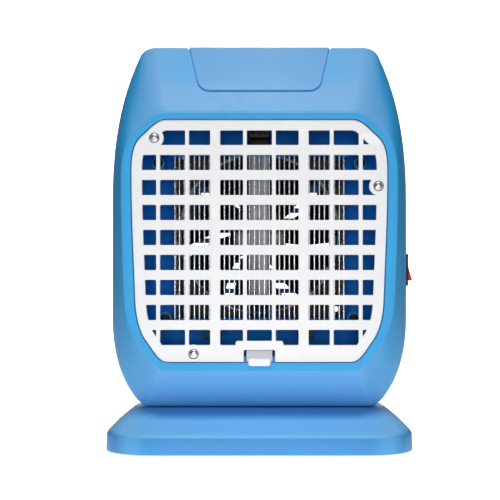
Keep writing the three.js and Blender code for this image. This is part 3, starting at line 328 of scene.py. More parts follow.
looks = {
    "housing_blue": plastic(
        "housing_blue", BLUE, 0.46, spread=0.03, worn=1.15, specular=0.4, painted_sheen=BLUE_PAINTED_SHEEN
    ),
    "foot_blue": plastic(
        "foot_blue", FOOT_BLUE_PAINTED_SHADE, 0.46, spread=0.03, worn=1.15, specular=0.4, painted_sheen=FOOT_PAINTED_SHEEN
    ),
    # the latch tongue is the grille's white plastic, painted greyer as painted shade in its recess
    "latch_white_painted_shade": plastic("latch_white_painted_shade", (0.6, 0.61, 0.64), 0.42, spread=0.03, worn=1.1),
    "screw_blackened": metal("screw_blackened", (0.05, 0.06, 0.08), 0.5),
    "chamber_blue": plastic("chamber_blue", CHAMBER_BLUE_PAINTED_LIGHT, 0.5, specular=0.12),
    "grille_white": plastic("grille_white", WHITE, 0.42, spread=0.015, worn=1.08),
    "black_plastic": plastic("black_plastic", BLACK, 0.45, worn=1.6, specular=0.3),
    "fan_gloss_black": plastic("fan_gloss_black", (0.004, 0.004, 0.005), 0.16, grain=0.1, worn=2),
    "switch_red": plastic("switch_red", (0.58, 0.002, 0.008), 0.35, grain=0.1, worn=1.3, specular=0.25),
    "rubber_black": rubber("rubber_black", (0.015, 0.015, 0.016)),
    "screw_steel": metal("screw_steel", (0.62, 0.62, 0.64), 0.3),
    "wire_steel": metal("wire_steel", (0.8, 0.8, 0.82), 0.25, (1, 1, 0.1)),
    "lamp_glass": phosphor_glass("lamp_glass"),
    "brass": metal("brass", (0.78, 0.56, 0.22), 0.3),
    "copper_winding": metal("copper_winding", (0.62, 0.22, 0.09), 0.4, (0.05, 1, 0.05), grain=0.9),
    "board_green": plastic("board_green", (0.01, 0.13, 0.045), 0.35, spread=0.25),
    "transformer_yellow": plastic("transformer_yellow", (0.62, 0.4, 0.04), 0.4, spread=0.12),
    "capacitor_sleeve": plastic("capacitor_sleeve", (0.012, 0.014, 0.03), 0.25, spread=0.2),
    "film_red": plastic("film_red", (0.34, 0.035, 0.02), 0.35, spread=0.15),
}


# ---- Meshes --------------------------------------------------------------------------------------


def make_object(name, points, faces):
    """An object from points in millimetres, its faces turned outwards."""
    mesh = bpy.data.meshes.new(name)
    mesh.from_pydata([Vector(p) * MM for p in points], [], faces)
    shape = bmesh.new()
    shape.from_mesh(mesh)
    bmesh.ops.remove_doubles(shape, verts=shape.verts, dist=1e-7)
    bmesh.ops.recalc_face_normals(shape, faces=shape.faces)
    shape.to_mesh(mesh)
    shape.free()
    return add_object(name, mesh)


def object_from(shape):
    """An object made from a bmesh, which is freed."""
    mesh = bpy.data.meshes.new("tool")
    shape.to_mesh(mesh)
    shape.free()
    return add_object("tool", mesh)


def loft(rings, close_ring=True, caps=True, loop=False):
    """Points and faces of a skin over rings of equal length; loop joins the last ring to the first."""
    count = len(rings[0])
    points = [p for ring in rings for p in ring]
    faces = []
    spans = len(rings) if loop else len(rings) - 1
    for r in range(spans):
        base, following = r * count, (r + 1) % len(rings) * count
        for i in range(count if close_ring else count - 1):
            j = (i + 1) % count
            faces.append((base + i, base + j, following + j, following + i))
    if caps and not loop:
        faces.append(tuple(range(count)))
        last = (len(rings) - 1) * count
        faces.append(tuple(range(last, last + count)))
    return points, faces


def along(axis, outline, at):
    """Points of a flat outline, laid square to an axis at a height along it."""
    if axis == "x":
        return [(at, u, v) for u, v in outline]
    if axis == "y":
        return [(u, at, v) for u, v in outline]
    return [(u, v, at) for u, v in outline]


def prism(axis, outline, low, high):
    return make_object("tool", *loft([along(axis, outline, low), along(axis, outline, high)]))


def disc(centre, radius, steps=32):
    turns = [2 * math.pi * i / steps for i in range(steps)]
    return [(centre[0] + radius * math.cos(a), centre[1] + radius * math.sin(a)) for a in turns]


def lathe(axis, centre, profile, steps=32):
    """A turned solid: profile holds (radius, height) pairs along the axis."""
    rings = [along(axis, disc(centre, radius, steps), height) for radius, height in profile]
    return make_object("tool", *loft(rings))


def rectangle(low, high, radius=0.0, steps=6):
    """Corner-rounded rectangle between two corners, anticlockwise."""
    if radius <= 0:
        return [(low[0], low[1]), (high[0], low[1]), (high[0], high[1]), (low[0], high[1])]
    left, right = low[0] + radius, high[0] - radius
    bottom, top = low[1] + radius, high[1] - radius
    points = []
    for quarter, (cx, cy) in enumerate([(right, top), (left, top), (left, bottom), (right, bottom)]):
        for i in range(steps + 1):
            angle = math.pi / 2 * (quarter + i / steps)
            points.append((cx + radius * math.cos(angle), cy + radius * math.sin(angle)))
    return points


def joined(tools):
    """One object from several that don't touch."""
    shape = bmesh.new()
    for tool in tools:
        shape.from_mesh(tool.data)
        bpy.data.objects.remove(tool)
    return object_from(shape)


def boolean(base, operation, *tools):
    """Cuts, joins or intersects base with each tool in turn, and removes the tools."""
    for tool in tools:
        modifier = base.modifiers.new("boolean", "BOOLEAN")
        modifier.operation = operation
        modifier.solver = "EXACT"
        modifier.object = tool
        graph = bpy.context.evaluated_depsgraph_get()
        mesh = bpy.data.meshes.new_from_object(base.evaluated_get(graph))
        base.modifiers.clear()
        base.data = mesh
        bpy.data.objects.remove(tool)
    return base


def cut(base, *tools):
    return boolean(base, "DIFFERENCE", *tools)


def unite(base, *tools):
    return boolean(base, "UNION", *tools)


def front_loops(base):
    """The closed edges of base's flat face at y = 0, each a list of (x, z); base is removed."""
    shape = bmesh.new()
    shape.from_mesh(base.data)
    bpy.data.objects.remove(base)
    flat = [f for f in shape.faces if all(abs(v.co.y / MM) < 1e-3 for v in f.verts)]
    following = {}
    for face in flat:
        for corner in face.loops:
            others = [f for f in corner.edge.link_faces if f is not face]
            if not any(f in flat for f in others):
                following[corner.vert] = corner.link_loop_next.vert
    loops = []
    while following:
        start = next(iter(following))
        line, vertex = [], start
        while vertex in following:
            line.append((vertex.co.x / MM, vertex.co.z / MM))
            vertex = following.pop(vertex)
        loops.append(line)
    shape.free()
    return loops


def area_of(line):
    return sum(a[0] * b[1] - b[0] * a[1] for a, b in zip(line, line[1:] + line[:1])) / 2


def rounded_plate(axis, loops, low, high, radius, steps=2):
    """A flat plate with holes whose edges are rounded all along: the largest loop is its outline."""
    ordered = sorted(loops, key=lambda line: -abs(area_of(line)))
    data = bpy.data.curves.new("tool", "CURVE")
    data.dimensions = "2D"
    data.fill_mode = "BOTH"
    data.extrude = ((high - low) / 2 - radius) * MM
    data.bevel_depth = radius * MM
    data.bevel_resolution = steps
    data.offset = -radius * MM
    for index, line in enumerate(ordered):
        wanted = 1 if index == 0 else -1
        points = line if area_of(line) * wanted > 0 else line[::-1]
        spline = data.splines.new("POLY")
        spline.points.add(len(points) - 1)
        spline.use_cyclic_u = True
        for target, (u, v) in zip(spline.points, points):
            target.co = (u * MM, v * MM, 0, 1)
    holder = add_object("tool", data)
    graph = bpy.context.evaluated_depsgraph_get()
    flat = bpy.data.meshes.new_from_object(holder.evaluated_get(graph))
    bpy.data.objects.remove(holder)
    halfway = (low + high) / 2
    points = []
    for vertex in flat.vertices:
        u, v, w = (c / MM for c in vertex.co)
        points += along(axis, [(u, v)], halfway + w)
    return make_object("tool", points, [tuple(p.vertices) for p in flat.polygons])


def rounded_box(low, high, radius):
    """A box between two corners with rounded edges."""
    shape = bmesh.new()
    bmesh.ops.create_cube(shape, size=1)
    size = Vector(high) - Vector(low)
    for vertex in shape.verts:
        vertex.co = (Vector(low) + Vector([(c + 0.5) * s for c, s in zip(vertex.co, size)])) * MM
    bmesh.ops.bevel(shape, geom=shape.edges, offset=radius * MM, segments=3, profile=0.5, affect="EDGES")
    return object_from(shape)


def finish_piece(made, name, slot, body="housing", stands_for=None, sharp=32, weighted=False, look=None):
    """Names a piece, gives it its look and body, and hides the CAD nodes it stands for."""
    made.name = made.data.name = name
    made.data.materials.clear()
    made.data.materials.append(looks[look or slot])
    shape = bmesh.new()
    shape.from_mesh(made.data)
    bmesh.ops.dissolve_degenerate(shape, dist=1e-6, edges=shape.edges)
    limit = math.radians(sharp)
    for face in shape.faces:
        face.smooth = True
        face.material_index = 0
    for edge in shape.edges:
        edge.smooth = len(edge.link_faces) == 2 and edge.calc_face_angle(0) < limit
    shape.to_mesh(made.data)
    shape.free()
    if weighted:
        normals = made.modifiers.new("normals", "WEIGHTED_NORMAL")
        normals.keep_sharp = True
    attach(made, body)
    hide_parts(*(stands_for or [name.removesuffix("_look")]))


# ---- Housing outlines ----------------------------------------------------------------------------

shell_low, shell_high = node_box("front_shell")
rear_low, rear_high = node_box("rear_shell")
grille_low, grille_high = node_box("front_grille")
chamber_high = node_box("chamber_wall")[1]

HALF = rear_high.x
TOP, BOTTOM = shell_high.z, shell_low.z
FRONT_Y, REAR_Y = shell_low.y, rear_high.y
PARTING_Y = shell_high.y + GAP / 2
REAR_START_Y = PARTING_Y + GAP / 2
BAND_FRONT_Y, BAND_REAR_Y = -18, 22
BULGE = 0.35
REAR_ROUND = 9.5
WALL = 2.6
INLET_RIM = 2.4
FAN_SCREW_REACH = 49.5  # from the fan's middle to each of its screws, across and up

SEAT_HALF = grille_high.x + GAP
SEAT_TOP, SEAT_BOTTOM = grille_high.z + GAP, grille_low.z - GAP
BEZEL_HALF = SEAT_HALF + 5.8
BEZEL_TOP, BEZEL_BOTTOM = SEAT_TOP + 3.8, SEAT_BOTTOM - 5.2
LEDGE_Y = grille_high.y + GAP
LEDGE_BACK_Y = LEDGE_Y + 2.5
LEDGE_WIDTH = 4

# Nodes are (x, z, heading): a heading of 0 runs outwards, 90 down and 180 inwards, in degrees.
FULL_NODES = [
    (HALF - 28.5, TOP, 0),
    (HALF - 17.8, TOP - 5.7, 65),
    (HALF, TOP - 97.5, 90),
    (HALF, BOTTOM + 57.3, 90),
    (HALF - 14.8, BOTTOM + 5.5, 128),
    (HALF - 25, BOTTOM, 180),
]
BEZEL_NODES = [
    (BEZEL_HALF - 28, BEZEL_TOP, 0),
    (BEZEL_HALF - 8.5, BEZEL_TOP - 12.7, 41),
    (BEZEL_HALF, BEZEL_TOP - 38.9, 90),
    (BEZEL_HALF - 2, BEZEL_BOTTOM + 43.2, 93),
    (BEZEL_HALF - 13.5, BEZEL_BOTTOM + 12.7, 131),
    (BEZEL_HALF - 27.3, BEZEL_BOTTOM, 180),
]
SEAT_NODES = [
    (SEAT_HALF - 22.2, SEAT_TOP, 0),
    (SEAT_HALF - 6.7, SEAT_TOP - 10.1, 41),
    (SEAT_HALF, SEAT_TOP - 37.1, 90),
    (SEAT_HALF - 2.2, SEAT_BOTTOM + 41, 92),
    (SEAT_HALF - 9.7, SEAT_BOTTOM + 12.5, 127),
    (SEAT_HALF - 23.2, SEAT_BOTTOM, 180),
]
SPAN_STEPS = 12


def heading_vector(degrees):
    return Vector((math.cos(math.radians(degrees)), -math.sin(math.radians(degrees))))


def bezier(a, b, c, d, t):
    s = 1 - t
    return a * s**3 + b * (3 * s * s * t) + c * (3 * s * t * t) + d * t**3


def closed_outline(nodes, steps=SPAN_STEPS):
    """The smooth closed line through the nodes and their mirror image."""
    right = []
    for (x0, z0, h0), (x1, z1, h1) in zip(nodes, nodes[1:]):
        start, end = Vector((x0, z0)), Vector((x1, z1))
        turn = math.radians(h1 - h0)
        handle = (end - start).length / (3 * math.cos(turn / 4) ** 2)
        lead, trail = start + heading_vector(h0) * handle, end - heading_vector(h1) * handle
        first = 1 if right else 0
        right += [bezier(start, lead, trail, end, i / steps) for i in range(first, steps + 1)]
    left = [Vector((-p.x, p.y)) for p in reversed(right)]
    return right + left


def mix_nodes(a, b, t):
    return [tuple(u + (v - u) * t for u, v in zip(m, n)) for m, n in zip(a, b)]


def inset(points, distance):
    """The outline moved in by a distance along each point's bisector."""
    count = len(points)
    turn = area_of([tuple(p) for p in points])
    moved = []
    for i, point in enumerate(points):
        edge_in = (point - points[i - 1]).normalized()
        edge_out = (points[(i + 1) % count] - point).normalized()
        tangent = (edge_in + edge_out).normalized()
        normal = Vector((-tangent.y, tangent.x)) * (1 if turn > 0 else -1)
        mitre = max(0.5, math.sqrt((1 + edge_in.dot(edge_out)) / 2))
        moved.append(point + normal * (distance / mitre))
    return moved


def slope_share(y):
    """How far the housing's outline has gone from full, 0, to the bezel, 1, at a depth."""
    t = max(0.0, (BAND_FRONT_Y - y) / (BAND_FRONT_Y - FRONT_Y))
    return t * (1 - BULGE * (1 - t))


def soften(before, corner, after, steps=5):
    """Points that round a corner, from one point beside it to the other."""
    rounded = []
    for i in range(steps + 1):
        t = i / steps
        parts = zip(before, corner, after)
        rounded.append(tuple(a * (1 - t) ** 2 + b * 2 * t * (1 - t) + c * t * t for a, b, c in parts))
    return rounded


# ---- Housing -------------------------------------------------------------------------------------


def front_profile():
    """(share, y) down the front shell: share 0 is the full outline, 1 the bezel's, 2 the grille seat's."""
    slope_start, slope_end = BAND_FRONT_Y - 3, FRONT_Y + 0.9
    steps = 16
    slope = []
    for i in range(1, steps):
        y = slope_start + (slope_end - slope_start) * i / steps
        slope.append((slope_share(y), y))
    first, last = [(slope_share(y), y) for y in (slope_start, slope_end)]
    return [
        (0, shell_high.y - 0.5),
        (0, -4),
        *soften((0, BAND_FRONT_Y + 3.4), (0, BAND_FRONT_Y), first, 8),
        *slope,
        *soften(last, (1, FRONT_Y), (1.14, FRONT_Y)),
        (1.5, FRONT_Y),
        *soften((1.84, FRONT_Y), (2, FRONT_Y), (2, FRONT_Y + 0.8)),
    ]


def outline_at(share):
    if share <= 1:
        return closed_outline(mix_nodes(FULL_NODES, BEZEL_NODES, share))
    return closed_outline(mix_nodes(BEZEL_NODES, SEAT_NODES, share - 1))


def lay(points, y):
    return [(p.x, y, p.y) for p in points]


COVER_TOP_HALF, COVER_BOTTOM_HALF = 47.2, 39.3
COVER_DROP = 32.2
COVER_CORNER = 8.5


def crown_line():
    """(y, z) up the middle of the front slope and back over the crown, from bezel to parting line."""
    downward = [(y, TOP + (BEZEL_TOP - TOP) * share) for share, y in front_profile() if share <= 1]
    upward = downward[::-1]
    return [*upward, (PARTING_Y + 3, TOP)]


def cover_solid(name, margin, low, high, rim=0.0, rear_y=None):
    """The top cover's sheet: a rounded trapezoid over the crown, from one height off it to another."""
    line = crown_line()
    bottom = TOP - COVER_DROP + margin
    slant = (COVER_TOP_HALF - COVER_BOTTOM_HALF) / COVER_DROP
    flat_half = COVER_BOTTOM_HALF - margin
    radius = COVER_CORNER - margin
    rear_y = PARTING_Y - GAP - margin if rear_y is None else rear_y

    def on_line(measure, target):
        """The (y, z) where the line passes a value of y (measure 0) or z (measure 1)."""
        for a, b in zip(line, line[1:]):
            if a[measure] <= target <= b[measure] and b[measure] > a[measure]:
                t = (target - a[measure]) / (b[measure] - a[measure])
                return (a[0] + (b[0] - a[0]) * t, a[1] + (b[1] - a[1]) * t)
        return line[-1]

    rows = []
    turn = math.pi / 2 - math.atan(slant)
    for i in range(9):
        angle = -math.pi / 2 + turn * i / 8
        height = bottom + radius + radius * math.sin(angle)
        rows.append((flat_half - radius + radius * math.cos(angle), on_line(1, height)))
    corner_half, corner_z = rows[-1][0], rows[-1][1][1]
    for y, z in line:
        if z > corner_z + 0.3 and y < rear_y - 0.3:
            rows.append((corner_half + slant * (z - corner_z), (y, z)))
    rows.append((rows[-1][0], on_line(0, rear_y)))

    travelled, lengths = 0.0, []
    for i, row in enumerate(rows):
        if i:
            travelled += math.dist(row[1], rows[i - 1][1])
        lengths.append(travelled)
    edge = [Vector((row[0], s)) for row, s in zip(rows, lengths)]
    edge += [Vector((-p.x, p.y)) for p in reversed(edge)]

    def place(point, height):
        """A point of the sheet, given across it and up it, lifted off the surface by a height."""
        s = point.y
        k = max(0, min(len(rows) - 2, sum(1 for length in lengths if length <= s) - 1))
        (y0, z0), (y1, z1) = rows[k][1], rows[k + 1][1]
        span = lengths[k + 1] - lengths[k] or 1.0
        t = (s - lengths[k]) / span
        normal = Vector((-(z1 - z0), y1 - y0)).normalized()
        before = rows[max(0, k - 1)][1]
        back = Vector((-(z0 - before[1]), y0 - before[0]))
        if back.length > 0:
            normal = (normal * (0.5 + t / 2) + back.normalized() * (0.5 - t / 2)).normalized()
        return (point.x, y0 + (y1 - y0) * t + normal.x * height, z0 + (z1 - z0) * t + normal.y * height)

    rings = []
    steps = 4
    if rim:
        for i in range(steps + 1):
            angle = math.pi / 2 * i / steps
            moved = inset(edge, rim * (1 - math.sin(angle)))
            rings.append([place(p, high - rim * (1 - math.cos(angle))) for p in moved])
    else:
        rings.append([place(p, high) for p in edge])
    rings.append([place(p, low) for p in edge])
    points, faces = loft(rings, caps=False)
    count = len(edge)
    last = (len(rings) - 1) * count
    for start in (0, last):
        for i in range(count // 2 - 1):
            faces.append((start + i, start + i + 1, start + count - 2 - i, start + count - 1 - i))
    return make_object(name, points, faces)


CORNERS = [height + side for height in ("upper_", "lower_") for side in ("left", "right")]
GRILLE_SCREWS = ["grille_screw_upper_left", "grille_screw_right", "grille_screw_lower_left"]
CHAMBER_SCREWS = ["chamber_screw_" + corner for corner in CORNERS]
HOUSING_SCREWS = ["housing_screw_" + corner for corner in CORNERS]


def front_shell():
    rings = [lay(inset(outline_at(0), 0.5), shell_high.y)]
    rings += [lay(outline_at(share), y) for share, y in front_profile()]
    seat = closed_outline(SEAT_NODES)
    rings.append(lay(seat, LEDGE_Y))
    rings.append(lay(inset(seat, LEDGE_WIDTH - 0.5), LEDGE_Y))
    rings.append(lay(inset(seat, LEDGE_WIDTH), LEDGE_Y + 0.5))
    rings.append(lay(inset(seat, LEDGE_WIDTH), LEDGE_BACK_Y))
    for y in (LEDGE_BACK_Y, -40, -34, -28, -22, BAND_FRONT_Y, shell_high.y):
        rings.append(lay(inset(outline_at(slope_share(y)), WALL), y))
    shell = make_object("front_shell_look", *loft(rings, loop=True))
    bosses = []
    holes = []
    boss = [(3.6, LEDGE_BACK_Y - 0.6), (3.6, LEDGE_BACK_Y + 5.5), (3.2, LEDGE_BACK_Y + 6)]
    for name in GRILLE_SCREWS:
        bosses.append(lathe("y", middle_xz(name), boss))
        holes.append(lathe("y", middle_xz(name), [(1.7, LEDGE_Y - 1), (1.7, LEDGE_BACK_Y + 5)], 20))
    unite(shell, *bosses)
    switch_low, switch_high = node_box("switch_body")
    opening = rectangle((switch_low.y + 1.3, switch_low.z + 1), (switch_high.y - 1.3, switch_high.z - 1), 1)
    pocket = cover_solid("pocket", -0.7, -0.9, 3, rear_y=PARTING_Y + 2)
    cut(shell, *holes, prism("x", opening, HALF - 8, HALF + 8), pocket)
    finish_piece(shell, "front_shell_look", "housing_blue")


def top_cover():
    cover = cover_solid("top_cover_look", GAP, -0.8, 0.38, rim=0.5)
    finish_piece(cover, "top_cover_look", "housing_blue")


def rear_outline(angle, depth=0.0):
    """The full outline drawn in towards its middle as the rear face rounds off."""
    distance = REAR_ROUND * (1 - math.cos(angle)) + depth
    middle_z, half_height = (TOP + BOTTOM) / 2, (TOP - BOTTOM) / 2
    across, up = 1 - distance / HALF, 1 - distance / half_height
    return [Vector((p.x * across, middle_z + (p.y - middle_z) * up)) for p in closed_outline(FULL_NODES)]


def slot_outline(x0, x1, z, half):
    """A slot with round ends."""
    return rectangle((x0, z - half), (x1, z + half), half, 5)


def bevel_rims(made, y, radius, inside):
    """Rounds the edges of openings in a flat face at a depth; inside says which edge middles count."""
    shape = bmesh.new()
    shape.from_mesh(made.data)
    chosen = []
    for edge in shape.edges:
        if len(edge.link_faces) != 2 or edge.calc_face_angle(0) < 1:
            continue
        if all(abs(v.co.y / MM - y) < 1e-2 for v in edge.verts):
            if inside((edge.verts[0].co + edge.verts[1].co) / 2 / MM):
                chosen.append(edge)
    bmesh.ops.bevel(shape, geom=chosen, offset=radius * MM, segments=2, profile=0.5, affect="EDGES")
    shape.to_mesh(made.data)
    shape.free()


def rear_shell():
    inner_y = REAR_Y - WALL
    quarter = [math.pi / 2 * i / 14 for i in range(15)]
    depth_range = REAR_Y - BAND_REAR_Y
    rings = []
    for angle in reversed(quarter[1:]):
        y = min(inner_y, BAND_REAR_Y + (depth_range - WALL) * math.sin(angle))
        rings.append(lay(rear_outline(angle, WALL), y))
    rings.append(lay(rear_outline(0, WALL), BAND_REAR_Y))
    rings.append(lay(rear_outline(0, WALL), REAR_START_Y))
    rings.append(lay(rear_outline(0, 0.5), REAR_START_Y))
    rings.append(lay(rear_outline(0), REAR_START_Y + 0.5))
    for angle in quarter:
        rings.append(lay(rear_outline(angle), BAND_REAR_Y + depth_range * math.sin(angle)))
    shell = make_object("rear_shell_look", *loft(rings))

    fan = middle("fan_frame")
    through = (inner_y - 1, REAR_Y + 1)
    slots = []
    for row in range(-6, 7):
        reach = math.sqrt(50**2 - (row * 7) ** 2)
        z = fan.z + row * 7
        for side in (-1, 1):
            x0, x1 = sorted((side * 2.5, side * reach))
            slots.append(prism("y", slot_outline(x0, x1, z, 1.7), *through))
    cut(shell, joined(slots))
    posts, wells = [], []
    for at in map(middle_xz, HOUSING_SCREWS):
        posts.append(lathe("y", at, [(5.4, REAR_START_Y), (5.4, inner_y + 1)]))
        wells.append(lathe("y", at, [(3.9, PARTING_Y + 12), (3.9, REAR_Y + 1)]))
        wells.append(lathe("y", at, [(1.9, PARTING_Y - 1), (1.9, PARTING_Y + 13)], 20))
    for at in map(middle_xz, CHAMBER_SCREWS):
        posts.append(lathe("y", at, [(4, rear_low.y), (4, inner_y + 1)]))
        wells.append(lathe("y", at, [(1.9, rear_low.y - 1), (1.9, rear_low.y + 14)], 20))
    unite(shell, *posts)
    tray_low, tray_high = node_box("catch_tray")
    mouth = rectangle((tray_low.x - GAP, tray_low.z - GAP), (tray_high.x + GAP, tray_high.z + GAP), 1.5)
    inlet_low, inlet_high = node_box("power_inlet")
    lap = INLET_RIM - GAP
    hole = rectangle((inlet_low.x + lap, inlet_low.z + lap), (inlet_high.x - lap, inlet_high.z - lap))
    cut(shell, *wells, prism("y", mouth, *through), prism("y", hole, *through))
    bevel_rims(shell, REAR_Y, 0.45, lambda p: abs(p.x) < HALF - REAR_ROUND - 6 and p.z < TOP - 16)
    finish_piece(shell, "rear_shell_look", "housing_blue")


# ---- Foot ----------------------------------------------------------------------------------------


def foot():
    low, high = node_box("base_cover")
    wall_top = low.z + 12
    plateau = (high.x - 16.5, 20, 14)
    edge = (high.x, high.y, 32)

    def ring(share, z, depth=0.0):
        x, y, radius = (a + (b - a) * share - depth for a, b in zip(edge, plateau))
        return along("z", rectangle((-x, -y), (x, y), max(radius, 1), 14), z)

    drop = high.z - wall_top
    profile = [
        (0.004, low.z),
        (0, low.z + 0.7),
        (0.02, wall_top - 3),
        *soften((0.03, wall_top - 1.6), (0.07, wall_top), (0.07 + 0.09, wall_top + drop * 0.1)),
        (0.4, wall_top + drop * 0.37),
        (0.7, wall_top + drop * 0.7),
        *soften((0.93, high.z - 0.9), (1.0, high.z), (1.06, high.z)),
    ]
    rings = [ring(share, z) for share, z in profile]
    inner = [ring(share, max(low.z, z - WALL), WALL) for share, z in profile[2:]]
    body = make_object("base_cover_look", *loft([*reversed(inner), ring(0.004, low.z, WALL), *rings]))
    # the foot's look is the housing's plastic with its own painted shade and painted sheen
    finish_piece(body, "base_cover_look", "housing_blue", sharp=40, look="foot_blue")


def rubber_feet():
    for name in ("rubber_foot_" + end + side for end in ("front_", "rear_") for side in ("left", "right")):
        low, high = node_box(name)
        radius = (high.x - low.x) / 2
        centre = ((low.x + high.x) / 2, (low.y + high.y) / 2)
        profile = [(radius - 2.5, 0.4), (radius - 2, 0), (radius - 0.6, 0), (radius, 0.6), (radius, high.z)]
        pad = lathe("z", centre, profile, 40)
        finish_piece(pad, name + "_look", "rubber_black")


# ---- Grille, latch and screws --------------------------------------------------------------------

ROWS = 9
ROW_BAR = 6
THIN_BAR, THICK_BAR = 2.4, 6.2
THIN_BAR_X = (8.9, 44.5, 62.3)
THICK_BAR_X = 27.2
BORDER, TOP_BORDER, BOTTOM_BORDER = 7, 6.7, 11
LATCH_NOTCH_HALF, LATCH_NOTCH_TOP = 9.6, 8
BUMP_HALF = 14.7


def window_columns(half):
    """(x0, x1) of each column of windows, between the upright bars."""
    bars = [(-x, THIN_BAR) for x in THIN_BAR_X] + [(-THICK_BAR_X, THICK_BAR)]
    bars += [(-x, width) for x, width in reversed(bars)]
    edges = [-half] + [x + side * width / 2 for x, width in sorted(bars) for side in (-1, 1)] + [half]
    return list(zip(edges[::2], edges[1::2]))


def front_grille():
    seat = inset(closed_outline(SEAT_NODES, 16), 0.55)
    inner_top, inner_bottom = SEAT_TOP - TOP_BORDER, SEAT_BOTTOM + BOTTOM_BORDER
    pitch = (inner_top - inner_bottom + ROW_BAR) / ROWS
    windows = []
    for row in range(ROWS):
        top = inner_top - row * pitch
        for x0, x1 in window_columns(SEAT_HALF):
            shape = rectangle((x0, top - pitch + ROW_BAR), (x1, top), 0.7, 3)
            windows.append(prism("y", shape, -1, 2))
    panes = joined(windows)
    border = prism("y", inset(closed_outline(SEAT_NODES, 16), BORDER), -2, 3)
    boolean(panes, "INTERSECT", border)
    bump = rectangle((-BUMP_HALF, inner_bottom - 4), (BUMP_HALF, inner_bottom + 2.6), 1.5, 4)
    pads = [prism("y", disc(middle_xz(n), 5.8, 40), -3, 4) for n in GRILLE_SCREWS]
    cut(panes, prism("y", bump, -3, 4), *pads)
    plate = prism("y", seat, 0, 1)
    notch_top = SEAT_BOTTOM + LATCH_NOTCH_TOP
    notch = rectangle((-LATCH_NOTCH_HALF, SEAT_BOTTOM - 3), (LATCH_NOTCH_HALF, notch_top), 0.8, 3)
    holes = [prism("y", disc(middle_xz(n), 3.2), -3, 4) for n in GRILLE_SCREWS]
    cut(plate, panes, prism("y", notch, -3, 4), *holes)
    made = rounded_plate("y", front_loops(plate), grille_low.y, grille_high.y, 0.35)
    finish_piece(made, "front_grille_look", "grille_white", weighted=True)


def grille_latch():
    low, high = node_box("grille_latch")
    tab_half = 6.75
    root = SEAT_BOTTOM + LATCH_NOTCH_TOP - GAP
    tongue_y = grille_low.y + 1.6
    tongue = rounded_box((low.x, tongue_y, SEAT_BOTTOM + GAP), (high.x, high.y, root), 0.4)
    tab = prism("y", rectangle((-tab_half, low.z), (tab_half, SEAT_BOTTOM + 2.8), 1.6, 6), 0, 1)
    lip = rounded_plate("y", front_loops(tab), low.y, FRONT_Y - GAP, 0.45)
    neck_low = (-tab_half, low.y + 0.5, SEAT_BOTTOM + GAP)
    neck = rounded_box(neck_low, (tab_half, tongue_y + 0.4, SEAT_BOTTOM + 2.8), 0.3)
    unite(lip, neck)
    finish_piece(lip, "grille_latch_lip_look", "grille_white", "latch", ["grille_latch"])
    # the tongue's look is the grille's white with painted shade for its recess
    finish_piece(tongue, "grille_latch_look", "grille_white", "latch", look="latch_white_painted_shade")


def cross_recess(centre, size, low, high):
    """The four-armed recess of a cross-head screw, tapering inwards from its mouth."""
    arms = []
    for turn in range(2):
        long_half, short_half = size, size * 0.24
        halves = (long_half, short_half) if turn == 0 else (short_half, long_half)
        rings = []
        for y, share in ((low, 1.0), (high, 0.55)):
            u, v = halves[0] * share, halves[1] * (share if turn else 1)
            low_corner, high_corner = (centre[0] - u, centre[1] - v), (centre[0] + u, centre[1] + v)
            rings.append(along("y", rectangle(low_corner, high_corner), y))
        arms.append(make_object("arm", *loft(rings)))
    return arms


def cross_screw(name):
    """A pan-head screw along Y with a cross recess, where its CAD node is."""
    low, high = node_box(name)
    centre = middle_xz(name)
    radius = (high.x - low.x) / 2
    height = radius * 0.5
    faces_front = name.startswith(("grille", "chamber"))
    top, tip, into = (low.y, high.y, 1) if faces_front else (high.y, low.y, -1)
    shank = radius * 0.5
    profile = []
    for i in range(7):
        angle = math.pi / 2 * i / 6
        across = max(0.05, radius * math.sin(angle) ** 0.8)
        profile.append((across, top + into * height * 0.75 * (1 - math.cos(angle))))
    profile += [
        (radius * 0.99, top + into * height),
        (shank, top + into * height),
        (shank, tip - into * 1.5),
        (0.2, tip),
    ]
    screw = lathe("y", centre, profile)
    cut(screw, *cross_recess(centre, radius * 0.62, top - into * 0.5, top + into * height * 0.8))
    look = "screw_blackened" if name.startswith("chamber") else "screw_steel"
    finish_piece(screw, name + "_look", "screw_steel", look=look)


# ---- Lamp chamber --------------------------------------------------------------------------------

OPENING_HALF, OPENING_HALF_HEIGHT, OPENING_CORNER = 54.5, 50.5, 18
RIM = 2


def fan_corners():
    """(x, z) of the screw places at the fan's corners, lowest first on each side."""
    z = middle("fan_frame").z
    return [(x * FAN_SCREW_REACH, z + up * FAN_SCREW_REACH) for x in (-1, 1) for up in (-1, 1)]


